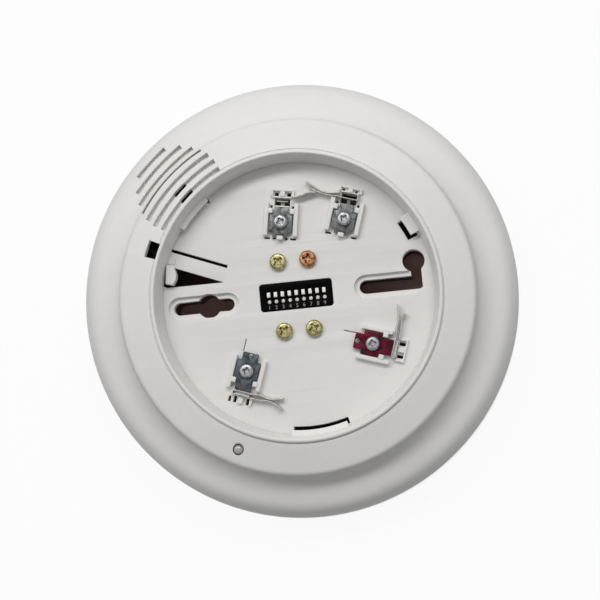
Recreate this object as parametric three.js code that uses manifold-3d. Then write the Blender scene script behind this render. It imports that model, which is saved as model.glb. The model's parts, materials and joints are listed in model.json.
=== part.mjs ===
// Sounder mounting base for a ceiling heat detector: a stepped round housing with a
// terminal deck in its well, an address switch, four spring contacts and a sounder.
// Millimetres. The base lies on its back: +Z points out of the well, z = 0 is the wall side,
// and the origin is on the axis of the ring.
import * as THREE from 'three';
import { mergeVertices } from 'three/addons/utils/BufferGeometryUtils.js';
import Module from 'manifold-3d';

const wasm = await Module();
wasm.setup();

// ---------- driving dimensions ----------

const clearance = 0.3;

const outerRadius = 80;
const rimHeight = 34;
const ringSegments = 64;

const wellFootRadius = 49.5;
const wellRimRadius = 51.4;
const deckTop = 22.5;
const deckThickness = 2.5;
const deckBottom = deckTop - deckThickness;
const deckRadius = 51;

const plateauEdge = { r: 63, z: 30.4 };
const shoulder = { r: 71, z: 21.2 };
const shoulderEdge = { r: 76.6, z: 19.4 };
const wallTop = { r: outerRadius, z: 15.5 };
const wallFoot = { r: 79.5, z: 0 };

const coverRadius = 77;
const coverThickness = 2;

const boardBottom = 14.4;
const boardTop = 16;
const boardRadius = 41;
// Notches in the board's edge for the left slot, the lock arm and the wire hole: X and Y sides.
const boardNotches = [[-60, -23.5, -7, 16], [-60, -29, 10, 26], [36, 60, -6, 14]];
const lampTab = { from: 30, to: 63.5, width: 9 };

// The terminal layout is centred a little off the axis of the ring.
const layout = { x: -0.7, y: 1 };

// The grille's arc grooves are blind, except over the sound port, where two of them open.
const grille = {
  angle: 132,
  rows: 7,
  firstRadius: 54,
  pitch: 3.42,
  groove: 1.5,
  depth: 1.3,
  centreRadius: 60,
  reach: 16.2,
};
const port = { radius: 3.3, at: 55.9, top: 31.1 };
const duct = { outer: 3.4, inner: 2.6, at: 56.1, bottom: 14.3, top: 28 };
const sounder = { centreRadius: 56, radius: 14, bottom: 3, top: 12.5, wall: 1.5, floor: 1.5, ledge: 3 };
const soundDisc = { radius: 12.2, bottom: 9.8, top: 10.4 };
const gasketThickness = 1.2;
const toolOpening = { angle: 156.7, radius: 54.9, radial: 4.4, tangential: 6.1, reach: 14 };
const lamp = { angle: -116.2, radius: 59, hole: 2, pipe: 1.7, hollowFrom: 25 };

// Ledges that hold the detector head, and the slits under them that let the mould's core out.
const ledges = [
  { from: 23, to: 32, innerRadius: 46.6, slit: { from: 22, to: 31.3, inner: 45, outer: 49 } },
  { from: -97.9, to: -73.7, innerRadius: 48.2, slit: { from: -97.4, to: -72.9, inner: 46.8, outer: 49.2 } },
  { from: 127.4, to: 143.9, innerRadius: 48.2, slit: { from: 141.2, to: 143.2, inner: 45.6, outer: 47.2 } },
];
const ledge = { root: 50.9, bottom: 24.9, top: 26.5 };

const coverScrewAngles = [20, 200, 290];
const coverScrew = {
  circle: 69,
  boss: 3.4,
  bossFoot: 4.3,
  bossTop: 19.6,
  hole: 1.7,
  holeTop: 15.4,
  shank: 1.4,
  length: 11,
  head: 2.9,
  headHeight: 1.6,
  seat: 3.4,
  seatDepth: 2.3,
  cupWall: 1.2,
  cupTop: 4,
};

const switchBody = { length: 26.1, width: 9.6, corner: 1, bottom: 16.3, top: 21.6 };
const switchWindow = { length: 26.7, width: 10.2, corner: 1.2 };
const slider = { count: 9, pitch: 2.54, width: 1.25, length: 1.9, bottom: 20.5, top: 22 };
const sliderTravel = 2.4;
const sliderRestY = 1.05;

// The two mounting slots: one with a bulge for a screw head, one with a neck up to the wire hole.
const leftSlot = { from: -45.2, to: -22.9, y: -0.75, width: 4.7 };
const bulge = { x: -32.25, y: -0.7, radius: 4.35 };
const rightSlot = { from: 23.1, to: 46.1, y: 0.5, width: 5, neckFrom: 42.2 };
const wireHole = { x: 43.6, y: 8.3, radius: 4.05 };
const sleeve = { gap: 0.5, wall: 1.3, top: deckBottom - clearance };
const screwRecess = { margin: 1.9, depth: 0.9 };

// The lock arm is cut free from the deck on three sides; its tooth stands at its far end.
const arm = { rootX: -25.3, rootY: 9.95, angle: 158.2, width: 5.3, length: 30.6, slit: 1.15, thickness: 2 };
const armWindowEdge = 7.35;
const tooth = { inner: -43.4, outerLow: -47.1, outerHigh: -45.4, low: 8.2, high: 15.4, top: 25.6 };

const boardScrews = [[-5.45, 12.7], [5.45, 12.7], [-5.45, -12.7], [5.45, -12.7]];
const boardScrew = { head: 3.1, headHeight: 1.9, shank: 1.6, tip: 12.4, boss: 3.7, hole: 2 };

// Each terminal: where its screw stands, which way it faces, and which way its fork runs.
const terminals = [
  { x: -3, y: 27, facing: 81, hand: -1, reach: 0.87 },
  { x: 20.1, y: 25.7, facing: 72, hand: 1, reach: 1 },
  { x: 26.1, y: -20.5, facing: -18, hand: 1, reach: 1 },
  { x: -20.3, y: -25.9, facing: -109, hand: 1, reach: 1 },
];
const contactBottom = deckTop + clearance;
const contactThickness = 0.5;
const forkTop = 26.4;
const frameTop = 25;
const clampBottom = contactBottom + contactThickness + clearance;
const clampThickness = 1;
// Half of the clamp plate's edge, in the terminal's own axes; the other half mirrors it.
const clampEdge = [[-5.5, 2.9], [-4.2, 2.9], [-3.3, 4.25], [3.4, 4.25], [3.9, 2.95], [6, 2.95]];
const terminalScrewSeat = clampBottom + clampThickness + clearance;
const terminalScrew = { head: 2.55, headHeight: 2, shank: 1.6, tip: 17.2 };
const screwHole = 2;
const plateHole = { u: -4.2, radius: 0.8 };
const contactTongue = { from: -5, to: 7.4, half: 3.5 };
const contactLeg = { from: 7.2, to: 7.6, half: 2.1, foot: deckBottom + 0.5 };
const forkThickness = 0.4;

// The fork's two sides as [along, across] points: the folded channel and the springy leaf.
const forkChannel = [
  [3.1, 9.15],
  [-1.6, 9.15],
  [-2.1, 8.7],
  [-2.1, 7.9],
  [-1.6, 7.4],
  [2, 7.4],
  [4.6, 8.35],
  [8, 8.3],
  [11, 8.1],
  [14.6, 6.9],
];
const forkLeaf = [[3.5, 9.15], [8, 9.05], [11, 9.2], [13.2, 9.9], [15.6, 10.9]];

// The plastic frame round each terminal and the slots behind it, in the terminal's own axes.
const rail = { from: -5.4, to: 7.3, inner: 4.75, outer: 6.05 };
const hook = { from: 4.2, to: 5.9, inner: 3.85, outer: 5 };
const stop = { from: -7.2, to: -6, half: 1.25 };
const bar = { from: 11.3, to: 12.1, half: 3.9 };
const legSlot = { from: 6.35, to: 8.75, half: 2.75 };
const combSlot = { from: 9.6, to: 11, inner: 1.7, outer: 3 };

const relay = { from: -8, to: 8, low: 18, high: 29, bottom: 4 };
const capacitor = { x: 18, y: 18, radius: 5, bottom: 3.5 };
const chip = { half: 5, thickness: 1.2 };
const coil = { x: -16, y: -16, radius: 5.5, bottom: 6.5 };
const connector = { from: -19, to: -12, low: 17, high: 25, bottom: 7 };

// ---------- materials ----------

const plastic = new THREE.MeshStandardMaterial({ color: 0xe4e3df, roughness: 0.55, metalness: 0 });
const darkPlastic = new THREE.MeshStandardMaterial({ color: 0x3a3433, roughness: 0.6, metalness: 0 });
const blackPlastic = new THREE.MeshStandardMaterial({ color: 0x141315, roughness: 0.45, metalness: 0 });
const sliderWhite = new THREE.MeshStandardMaterial({ color: 0xf4f2ee, roughness: 0.5, metalness: 0 });
const yellowZinc = new THREE.MeshStandardMaterial({ color: 0xb9a25e, roughness: 0.35, metalness: 1 });
const plainSteel = new THREE.MeshStandardMaterial({ color: 0xb8bbbd, roughness: 0.35, metalness: 1 });
const springMetal = new THREE.MeshStandardMaterial({ color: 0xc9c6bf, roughness: 0.3, metalness: 1 });
const greyPlate = new THREE.MeshStandardMaterial({ color: 0x7b8082, roughness: 0.45, metalness: 0.9 });
const redPlate = new THREE.MeshStandardMaterial({ color: 0x6d1024, roughness: 0.45, metalness: 0.5 });
const greenBoard = new THREE.MeshStandardMaterial({ color: 0x1e5a36, roughness: 0.5, metalness: 0 });
const clearLens = new THREE.MeshStandardMaterial({ color: 0xe8e4e0, roughness: 0.15, metalness: 0 });
const brassDisc = new THREE.MeshStandardMaterial({ color: 0xb08d4a, roughness: 0.35, metalness: 1 });
const foam = new THREE.MeshStandardMaterial({ color: 0x2c2c2e, roughness: 0.95, metalness: 0 });

// ---------- solids ----------

const radians = (degrees) => (degrees * Math.PI) / 180;
const polar = (radius, degrees) => [radius * Math.cos(radians(degrees)), radius * Math.sin(radians(degrees))];

// Turns a closed geometry into a solid: shared vertices merged, slivers dropped, faces outwards.
function solid(geometry) {
  const bare = geometry.index ? geometry.toNonIndexed() : geometry.clone();
  bare.deleteAttribute('normal');
  bare.deleteAttribute('uv');
  const merged = mergeVertices(bare, 1e-4);
  const vertProperties = new Float32Array(merged.attributes.position.array);
  const corners = [];
  for (let i = 0; i < merged.index.count; i += 3) {
    const [a, b, c] = [0, 1, 2].map((k) => merged.index.getX(i + k));
    if (a !== b && b !== c && a !== c) corners.push(a, b, c);
  }
  const at = (i) => new THREE.Vector3().fromArray(vertProperties, 3 * i);
  let volume = 0;
  for (let i = 0; i < corners.length; i += 3) {
    volume += at(corners[i]).dot(at(corners[i + 1]).cross(at(corners[i + 2])));
  }
  if (volume < 0) corners.reverse();
  return new wasm.Manifold(new wasm.Mesh({ numProp: 3, vertProperties, triVerts: new Uint32Array(corners) }));
}

const join = (first, ...rest) => rest.reduce((whole, piece) => whole.add(piece), first);
const cut = (first, ...rest) => rest.reduce((whole, piece) => whole.subtract(piece), first);

function surface(body) {
  const { vertProperties, triVerts } = body.getMesh();
  const geometry = new THREE.BufferGeometry();
  geometry.setAttribute('position', new THREE.BufferAttribute(new Float32Array(vertProperties), 3));
  geometry.setIndex(new THREE.BufferAttribute(new Uint32Array(triVerts), 1));
  return geometry;
}

function piece(name, body, material) {
  const mesh = new THREE.Mesh(surface(body), material);
  mesh.name = name;
  return mesh;
}

// A prism of an outline between two heights.
function prism(shape, low, high, curveSegments = 10) {
  const settings = { depth: high - low, bevelEnabled: false, curveSegments };
  const geometry = new THREE.ExtrudeGeometry(shape, settings);
  return solid(geometry.translate(0, 0, low));
}

function rod(x, y, radius, low, high, sides = 20) {
  const geometry = new THREE.CylinderGeometry(radius, radius, high - low, sides);
  return solid(geometry.rotateX(Math.PI / 2).translate(x, y, (low + high) / 2));
}

function block(fromX, toX, fromY, toY, low, high) {
  const geometry = new THREE.BoxGeometry(toX - fromX, toY - fromY, high - low);
  return solid(geometry.translate((fromX + toX) / 2, (fromY + toY) / 2, (low + high) / 2));
}

// A turned solid: [radius, height] points that close on themselves or meet the axis.
function turned(profile, segments = ringSegments, x = 0, y = 0) {
  const geometry = new THREE.LatheGeometry(profile.map(([r, z]) => new THREE.Vector2(r, z)), segments);
  return solid(geometry.rotateX(Math.PI / 2).translate(x, y, 0));
}

const outline = (points) => new THREE.Shape(points.map(([x, y]) => new THREE.Vector2(x, y)));

// A flat band that follows part of a circle about the axis.
function arcBand(innerRadius, outerRadiusOfBand, from, to, low, high, steps = 8) {
  const angles = Array.from({ length: steps + 1 }, (_, i) => from + ((to - from) * i) / steps);
  const inner = angles.map((angle) => polar(innerRadius, angle));
  const outer = angles.map((angle) => polar(outerRadiusOfBand, angle)).reverse();
  return prism(outline([...inner, ...outer]), low, high);
}

// A slot outline with round ends along X, grown by a margin.
function slotShape(from, to, y, width, margin = 0) {
  const radius = width / 2 + margin;
  const shape = new THREE.Shape();
  shape.moveTo(from + width / 2, y - radius);
  shape.lineTo(to - width / 2, y - radius);
  shape.absarc(to - width / 2, y, radius, -Math.PI / 2, Math.PI / 2);
  shape.lineTo(from + width / 2, y + radius);
  shape.absarc(from + width / 2, y, radius, Math.PI / 2, (3 * Math.PI) / 2);
  return shape;
}

function roundedRectangle(length, width, corner) {
  const [x, y] = [length / 2, width / 2];
  const shape = new THREE.Shape();
  shape.moveTo(-x + corner, -y);
  shape.lineTo(x - corner, -y);
  shape.absarc(x - corner, -y + corner, corner, -Math.PI / 2, 0);
  shape.absarc(x - corner, y - corner, corner, 0, Math.PI / 2);
  shape.absarc(-x + corner, y - corner, corner, Math.PI / 2, Math.PI);
  shape.absarc(-x + corner, -y + corner, corner, Math.PI, (3 * Math.PI) / 2);
  return shape;
}

// Sheet metal standing on edge: the outline of a centreline with a thickness.
function sheetOutline(points, thickness) {
  const path = points.map(([x, y]) => new THREE.Vector2(x, y));
  const side = (sign) => path.map((point, i) => {
    const before = path[Math.max(i - 1, 0)];
    const after = path[Math.min(i + 1, path.length - 1)];
    const into = point.clone().sub(before).normalize();
    const out = after.clone().sub(point).normalize();
    const along = into.clone().add(out).normalize();
    const bend = Math.max(along.dot(i === 0 ? out : into), 0.3);
    const normal = new THREE.Vector2(-along.y, along.x);
    return point.clone().addScaledVector(normal, (sign * thickness) / 2 / bend);
  });
  return new THREE.Shape([...side(1), ...side(-1).reverse()]);
}

// Shares of a pan head's radius and height: its upright side, its crown and its cross recess.
const panHead = { side: 0.45, crownRadius: 0.86, crownDrop: 0.18, flat: 0.5 };
const recess = { reach: 0.55, half: 0.13, depth: 0.6 };
const screwPoint = 0.9;

// A pan-head screw along Z with a cross recess, its head standing on headBottom.
function panScrew({ head, headHeight, shank, tip }, headBottom, sides = 12) {
  const top = headBottom + headHeight;
  const crown = [
    [0, tip],
    [shank, tip + screwPoint],
    [shank, headBottom],
    [head, headBottom],
    [head, headBottom + headHeight * panHead.side],
    [head * panHead.crownRadius, top - headHeight * panHead.crownDrop],
    [head * panHead.flat, top],
    [0, top],
  ];
  const [long, narrow, floor] = [head * recess.reach, head * recess.half, top - headHeight * recess.depth];
  const across = block(-long, long, -narrow, narrow, floor, top + 1);
  const along = block(-narrow, narrow, -long, long, floor, top + 1);
  return cut(turned(crown, sides), across, along);
}

// ---------- housing ----------

// Points of a curve that leaves one point and reaches another along two tangents.
function bend(from, corner, to, steps) {
  const curve = new THREE.QuadraticBezierCurve(
    new THREE.Vector2(from[0], from[1]),
    new THREE.Vector2(corner[0], corner[1]),
    new THREE.Vector2(to[0], to[1]),
  );
  return curve.getPoints(steps).map((point) => [point.x, point.y]);
}

function housingProfile() {
  const wallCorner = [79.7, 18.05];
  const shoulderCorner = [74.4, 20.35];
  const coveCorner = [65.83, 23.1];
  const riserFoot = [65.3, 25.4];
  const riserTop = [64.5, 29.2];
  const edgeCorner = [64.2, 30.1];
  const beadFoot = [53.2, 32.9];
  return [
    [wallFoot.r, wallFoot.z],
    ...bend([wallTop.r, wallTop.z], wallCorner, [shoulderEdge.r, shoulderEdge.z], 4),
    ...bend([shoulderEdge.r, shoulderEdge.z], shoulderCorner, [shoulder.r, shoulder.z], 2).slice(1),
    ...bend([shoulder.r, shoulder.z], coveCorner, riserFoot, 4).slice(1),
    ...bend(riserTop, edgeCorner, [plateauEdge.r, plateauEdge.z], 2),
    beadFoot,
    [52.5, rimHeight - 0.2],
    [51.9, rimHeight],
    [wellRimRadius, rimHeight - 0.4],
    [wellFootRadius, contactBottom],
    [51.7, contactBottom],
    ...housingLining(),
    [wallFoot.r, wallFoot.z],
  ];
}

// The inner skin of the housing, from behind the well wall out to the wall side.
function housingLining() {
  return [
    [53.3, 30.6],
    [61.9, 28.3],
    [62.9, 24.4],
    [64.9, 20.7],
    [70.3, 18.8],
    [75.2, 17.3],
    [77.4, 14.5],
    [77.4, 0],
  ];
}

// The height of the housing's outer surface at a radius.
function surfaceHeight(radius) {
  const line = housingProfile();
  const next = line.findIndex(([r], i) => i > 1 && r <= radius);
  const [[outerR, outerZ], [innerR, innerZ]] = [line[next - 1], line[next]];
  return outerZ + ((outerR - radius) / (outerR - innerR)) * (innerZ - outerZ);
}

function grilleGrooves() {
  return Array.from({ length: grille.rows }, (_, row) => {
    const radius = grille.firstRadius + row * grille.pitch;
    const halfChord = Math.sqrt(grille.reach ** 2 - (radius - grille.centreRadius) ** 2);
    const half = THREE.MathUtils.radToDeg(Math.asin(halfChord / radius));
    const [inner, outer] = [radius - grille.groove / 2, radius + grille.groove / 2];
    const low = surfaceHeight(outer) - grille.depth;
    return arcBand(inner, outer, grille.angle - half, grille.angle + half, low, rimHeight + 1, 8);
  });
}

function frontHousing() {
  const skin = turned(housingProfile());
  const bosses = coverScrewAngles.map((angle) => {
    const [x, y] = polar(coverScrew.circle, angle);
    const { boss, bossFoot, bossTop, hole, holeTop } = coverScrew;
    return cut(rod(x, y, boss, bossFoot, bossTop, 14), rod(x, y, hole, bossFoot - 1, holeTop, 12));
  });
  const shelves = ledges.map((item) => {
    return arcBand(item.innerRadius, ledge.root, item.from, item.to, ledge.bottom, ledge.top, 4);
  });
  const [openingX, openingY] = polar(toolOpening.radius, toolOpening.angle);
  const opening = new THREE.BoxGeometry(toolOpening.radial, toolOpening.tangential, toolOpening.reach);
  opening.rotateZ(radians(toolOpening.angle)).translate(openingX, openingY, rimHeight);
  const [lampX, lampY] = polar(lamp.radius, lamp.angle);
  const lampHole = rod(lampX, lampY, lamp.hole, lamp.hollowFrom, rimHeight, 16);
  const portHole = rod(...polar(port.at, grille.angle), port.radius, lamp.hollowFrom, port.top, 20);
  return cut(join(skin, ...bosses, ...shelves), ...grilleGrooves(), solid(opening), lampHole, portHole);
}

// ---------- terminal deck ----------

const armPoint = (along, across) => {
  const [c, s] = [Math.cos(radians(arm.angle)), Math.sin(radians(arm.angle))];
  return [arm.rootX + along * c + across * s, arm.rootY + along * s - across * c];
};

function mountingSlots(margin, low, high) {
  const neckLow = rightSlot.y - rightSlot.width / 2 - margin;
  const stadium = ({ from, to, y, width }) => prism(slotShape(from, to, y, width, margin), low, high, 6);
  return [
    join(stadium(leftSlot), rod(bulge.x, bulge.y, bulge.radius + margin, low, high, 20)),
    join(
      stadium(rightSlot),
      block(rightSlot.neckFrom - margin, rightSlot.to + margin, neckLow, wireHole.y, low, high),
      rod(wireHole.x, wireHole.y, wireHole.radius + margin, low, high, 24),
    ),
  ];
}

// The raised plastic frame round one terminal, in the terminal's own axes: +X outwards.
function terminalFrame() {
  const low = deckTop - 0.5;
  const bothSides = ({ from, to, inner, outer }) => [
    block(from, to, inner, outer, low, frameTop),
    block(from, to, -outer, -inner, low, frameTop),
  ];
  return [
    ...bothSides(rail),
    ...bothSides(hook),
    block(stop.from, stop.to, -stop.half, stop.half, low, frameTop),
    block(bar.from, bar.to, -bar.half, bar.half, low, frameTop - 1),
  ];
}

// What is cut through the deck at one terminal.
function terminalCuts() {
  const through = [deckBottom - 1, deckTop + 1];
  return [
    rod(0, 0, screwHole, ...through, 16),
    block(legSlot.from, legSlot.to, -legSlot.half, legSlot.half, ...through),
    block(combSlot.from, combSlot.to, -combSlot.outer, -combSlot.inner, ...through),
    block(combSlot.from, combSlot.to, combSlot.inner, combSlot.outer, ...through),
  ];
}

const atTerminal = (body, { x, y, facing }) => body.rotate([0, 0, facing]).translate([x, y, 0]);

function armOpening() {
  const half = arm.width / 2;
  return outline([
    armPoint(0, half + arm.slit),
    armPoint(deckRadius, half + arm.slit),
    [-deckRadius * 1.2, armWindowEdge],
    [armPoint(0, -half)[0], armWindowEdge],
  ]);
}

function terminalDeck() {
  const through = [deckBottom - 1, deckTop + 1];
  const disc = rod(0, 0, deckRadius, deckBottom, deckTop, ringSegments).translate([-layout.x, -layout.y, 0]);
  const { length, width, corner } = switchWindow;
  const window = prism(roundedRectangle(length, width, corner), ...through, 4);
  const recesses = [leftSlot, rightSlot].map(({ from, to, y, width }) => {
    const shape = slotShape(from, to, y, width, screwRecess.margin);
    return prism(shape, deckTop - screwRecess.depth, deckTop + 1, 6);
  });
  const slits = ledges.map(({ slit }) => {
    const band = arcBand(slit.inner, slit.outer, slit.from, slit.to, ...through, 6);
    return band.translate([-layout.x, -layout.y, 0]);
  });
  const bossFoot = boardTop + clearance;
  const bosses = boardScrews.map(([x, y]) => rod(x, y, boardScrew.boss, bossFoot, deckTop - 1, 16));
  const holes = boardScrews.map(([x, y]) => rod(x, y, boardScrew.hole, boardTop, deckTop + 1, 16));
  const frames = terminals.flatMap((terminal) => terminalFrame().map((body) => atTerminal(body, terminal)));
  const cuts = terminals.flatMap((terminal) => terminalCuts().map((body) => atTerminal(body, terminal)));
  const body = join(cut(disc, ...recesses), ...bosses, ...frames);
  const slots = mountingSlots(0, ...through);
  const opening = prism(armOpening(), ...through);
  return cut(body, window, ...slots, ...slits, ...holes, ...cuts, opening);
}

function lockArm() {
  const half = arm.width / 2;
  const low = deckTop - arm.thickness;
  const strip = outline([
    armPoint(clearance, half),
    armPoint(arm.length, half),
    armPoint(arm.length, -half),
    armPoint(clearance, -half),
  ]);
  const catchOutline = outline([
    [tooth.inner, tooth.high + 2],
    [tooth.outerHigh, tooth.high],
    [tooth.outerLow, tooth.low],
    [tooth.inner, tooth.low],
  ]);
  return join(prism(strip, low, deckTop), prism(catchOutline, low, tooth.top));
}

// ---------- rear cover and board ----------

function rearCover() {
  const plate = rod(0, 0, coverRadius, 0, coverThickness, ringSegments);
  const place = (body) => body.translate([layout.x, layout.y, 0]);
  const walls = mountingSlots(sleeve.gap + sleeve.wall, coverThickness - 1, sleeve.top).map(place);
  const openings = mountingSlots(sleeve.gap, -1, sleeve.top + 1).map(place);
  const cups = coverScrewAngles.map((angle) => {
    const [x, y] = polar(coverScrew.circle, angle);
    return rod(x, y, coverScrew.seat + coverScrew.cupWall, coverThickness - 1, coverScrew.cupTop, 16);
  });
  const seats = coverScrewAngles.flatMap((angle) => {
    const [x, y] = polar(coverScrew.circle, angle);
    const seat = rod(x, y, coverScrew.seat, -1, coverScrew.seatDepth, 16);
    return [seat, rod(x, y, coverScrew.hole, 1, coverScrew.cupTop + 1, 12)];
  });
  return cut(join(plate, ...walls, ...cups), ...openings, ...seats);
}

function circuitBoard() {
  const disc = rod(-layout.x, -layout.y, boardRadius, boardBottom, boardTop, 40);
  const { from, to, width } = lampTab;
  const [x, y] = polar((from + to) / 2, lamp.angle);
  const tab = new THREE.BoxGeometry(to - from, width, boardTop - boardBottom);
  tab.rotateZ(radians(lamp.angle));
  tab.translate(x - layout.x, y - layout.y, (boardTop + boardBottom) / 2);
  const [low, high] = [boardBottom - 1, boardTop + 1];
  const sleeves = mountingSlots(sleeve.gap + sleeve.wall + 0.5, low, high);
  const notches = boardNotches.map((sides) => block(...sides, low, high));
  const holes = boardScrews.map(([holeX, holeY]) => rod(holeX, holeY, boardScrew.hole, low, high, 16));
  return cut(join(disc, solid(tab)), ...sleeves, ...notches, ...holes);
}

// ---------- address switch ----------

const sliderX = (index) => (index - (slider.count - 1) / 2) * slider.pitch;

function addressSwitchBody() {
  const { length, width, corner, bottom, top } = switchBody;
  const body = prism(roundedRectangle(length, width, corner), bottom, top, 3);
  const slotHalf = slider.width / 2 + clearance;
  const high = sliderRestY + slider.length / 2 + clearance;
  const low = sliderRestY - sliderTravel - slider.length / 2 - clearance;
  const slots = Array.from({ length: slider.count }, (_, i) => {
    return block(sliderX(i) - slotHalf, sliderX(i) + slotHalf, low, high, slider.bottom - clearance, top + 1);
  });
  return cut(body, ...slots);
}

function switchSlider() {
  const [x, y] = [slider.width / 2, slider.length / 2];
  return block(-x, x, -y, y, slider.bottom, slider.top);
}

// ---------- terminals ----------

// Fork leaves in the terminal's own axes; the fork runs to +Y before its hand is applied.
const forkPoint = (along, across, { hand, reach }) => [across, hand * along * reach];

function forkSide(points, terminal) {
  const line = points.map(([along, across]) => forkPoint(along, across, terminal));
  return prism(sheetOutline(line, forkThickness), contactBottom, forkTop);
}

function contactBody(terminal) {
  const [low, high] = [contactBottom, contactBottom + contactThickness];
  const { from, to, half } = contactTongue;
  const tongue = block(from, to, -half, half, low, high);
  const leg = block(contactLeg.from, contactLeg.to, -contactLeg.half, contactLeg.half, contactLeg.foot, high);
  return cut(
    join(tongue, leg, forkSide(forkChannel, terminal)),
    rod(0, 0, screwHole, low - 1, high + 1, 16),
    rod(plateHole.u, 0, plateHole.radius, low - 1, high + 1, 10),
  );
}

function clampPlate() {
  const otherEdge = clampEdge.map(([x, y]) => [x, -y]).reverse();
  const [low, high] = [clampBottom, clampBottom + clampThickness];
  return cut(
    prism(outline([...clampEdge, ...otherEdge]), low, high),
    rod(0, 0, screwHole, low - 1, high + 1, 16),
    rod(plateHole.u, 0, plateHole.radius, low - 1, high + 1, 10),
  );
}

function terminalGroup(terminal, index) {
  const number = index + 1;
  const group = new THREE.Group();
  const plateColour = number === 3 ? redPlate : greyPlate;
  group.position.set(layout.x + terminal.x, layout.y + terminal.y, 0);
  group.rotation.z = radians(terminal.facing);
  group.add(
    piece(`contact_${number}`, contactBody(terminal), springMetal),
    piece(`contact_leaf_${number}`, forkSide(forkLeaf, terminal), springMetal),
    piece(`clamp_plate_${number}`, clampPlate(), plateColour),
    piece(`terminal_screw_${number}`, panScrew(terminalScrew, terminalScrewSeat), plainSteel),
  );
  return group;
}

// ---------- sounder ----------

// The foam tube that leads the sound from the disc up to the port.
function soundDuct() {
  const [x, y] = polar(duct.at, grille.angle);
  const tube = rod(x, y, duct.outer, duct.bottom, duct.top, 20);
  return cut(tube, rod(x, y, duct.inner, duct.bottom - 1, duct.top + 1, 20));
}

function sounderGroup() {
  const { radius, bottom, top, wall, floor, ledge: step } = sounder;
  const group = new THREE.Group();
  const [x, y] = polar(sounder.centreRadius, grille.angle);
  group.position.set(x, y, 0);
  const cup = [
    [0, bottom],
    [radius, bottom],
    [radius, top],
    [radius - wall, top],
    [radius - wall, top - step],
    [radius - 2 * wall, top - step],
    [radius - 2 * wall, bottom + floor],
    [0, bottom + floor],
  ];
  const ring = [
    [radius - 2 * wall, top + clearance],
    [radius, top + clearance],
    [radius, top + clearance + gasketThickness],
    [radius - 2 * wall, top + clearance + gasketThickness],
    [radius - 2 * wall, top + clearance],
  ];
  group.add(
    piece('sounder_case', turned(cup, 24), blackPlastic),
    piece('sounder_disc', rod(0, 0, soundDisc.radius, soundDisc.bottom, soundDisc.top, 24), brassDisc),
    piece('sounder_gasket', turned(ring, 24), foam),
  );
  return group;
}

// ---------- assembly ----------

function coverScrews() {
  return coverScrewAngles.map((angle, index) => {
    const { head, headHeight, shank, length } = coverScrew;
    const screw = panScrew({ head, headHeight, shank, tip: -length }, 0);
    const mesh = piece(`cover_screw_${index + 1}`, screw, yellowZinc);
    const [x, y] = polar(coverScrew.circle, angle);
    mesh.rotation.x = Math.PI;
    mesh.position.set(x, y, coverThickness);
    return mesh;
  });
}

function boardComponents() {
  const high = boardBottom - clearance;
  const boxed = ({ from, to, low, high: far, bottom }) => block(from, to, low, far, bottom, high);
  const round = ({ x, y, radius, bottom }) => rod(x, y, radius, bottom, high, 20);
  const chipBody = block(-chip.half, chip.half, -chip.half, chip.half, high - chip.thickness, high);
  return [
    piece('relay', boxed(relay), blackPlastic),
    piece('filter_capacitor', round(capacitor), blackPlastic),
    piece('microcontroller', chipBody, blackPlastic),
    piece('boost_coil', round(coil), foam),
    piece('sounder_connector', boxed(connector), darkPlastic),
  ];
}

function layoutGroup() {
  const group = new THREE.Group();
  group.position.set(layout.x, layout.y, 0);
  group.add(
    piece('terminal_deck', terminalDeck(), plastic),
    piece('lock_arm', lockArm(), plastic),
    piece('circuit_board', circuitBoard(), greenBoard),
    piece('address_switch_body', addressSwitchBody(), blackPlastic),
    ...boardComponents(),
  );
  for (let i = 0; i < slider.count; i += 1) {
    const mesh = piece(`switch_slider_${i + 1}`, switchSlider(), sliderWhite);
    mesh.position.set(sliderX(i), sliderRestY, 0);
    group.add(mesh);
  }
  boardScrews.forEach(([x, y], index) => {
    const mesh = piece(`board_screw_${index + 1}`, panScrew(boardScrew, contactBottom), yellowZinc);
    mesh.position.set(x, y, 0);
    group.add(mesh);
  });
  return group;
}

function lampPieces() {
  const [x, y] = polar(lamp.radius, lamp.angle);
  const led = [[0, 16.3], [2.4, 16.3], [2.4, 17.3], [1.6, 17.3], [1.6, 19.8], [0.9, 20.7], [0, 20.9]];
  const pipe = [[0, 21.3], [lamp.pipe, 21.3], [lamp.pipe, 31.2], [1.1, 31.6], [0, 31.7]];
  return [
    piece('status_led', turned(led, 16, x, y), clearLens),
    piece('light_pipe', turned(pipe, 16, x, y), clearLens),
  ];
}

const base = new THREE.Group();
base.add(
  piece('front_housing', frontHousing(), plastic),
  piece('rear_cover', rearCover(), darkPlastic),
  piece('sound_duct', soundDuct(), foam),
  ...lampPieces(),
  ...coverScrews(),
  sounderGroup(),
  layoutGroup(),
  ...terminals.map(terminalGroup),
);

export default base;
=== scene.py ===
# Detector sounder mounting base: the looks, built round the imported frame. Metres, +Z out of the well.
import json
import math
import bmesh
import bpy
from mathutils import Matrix, Vector


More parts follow.
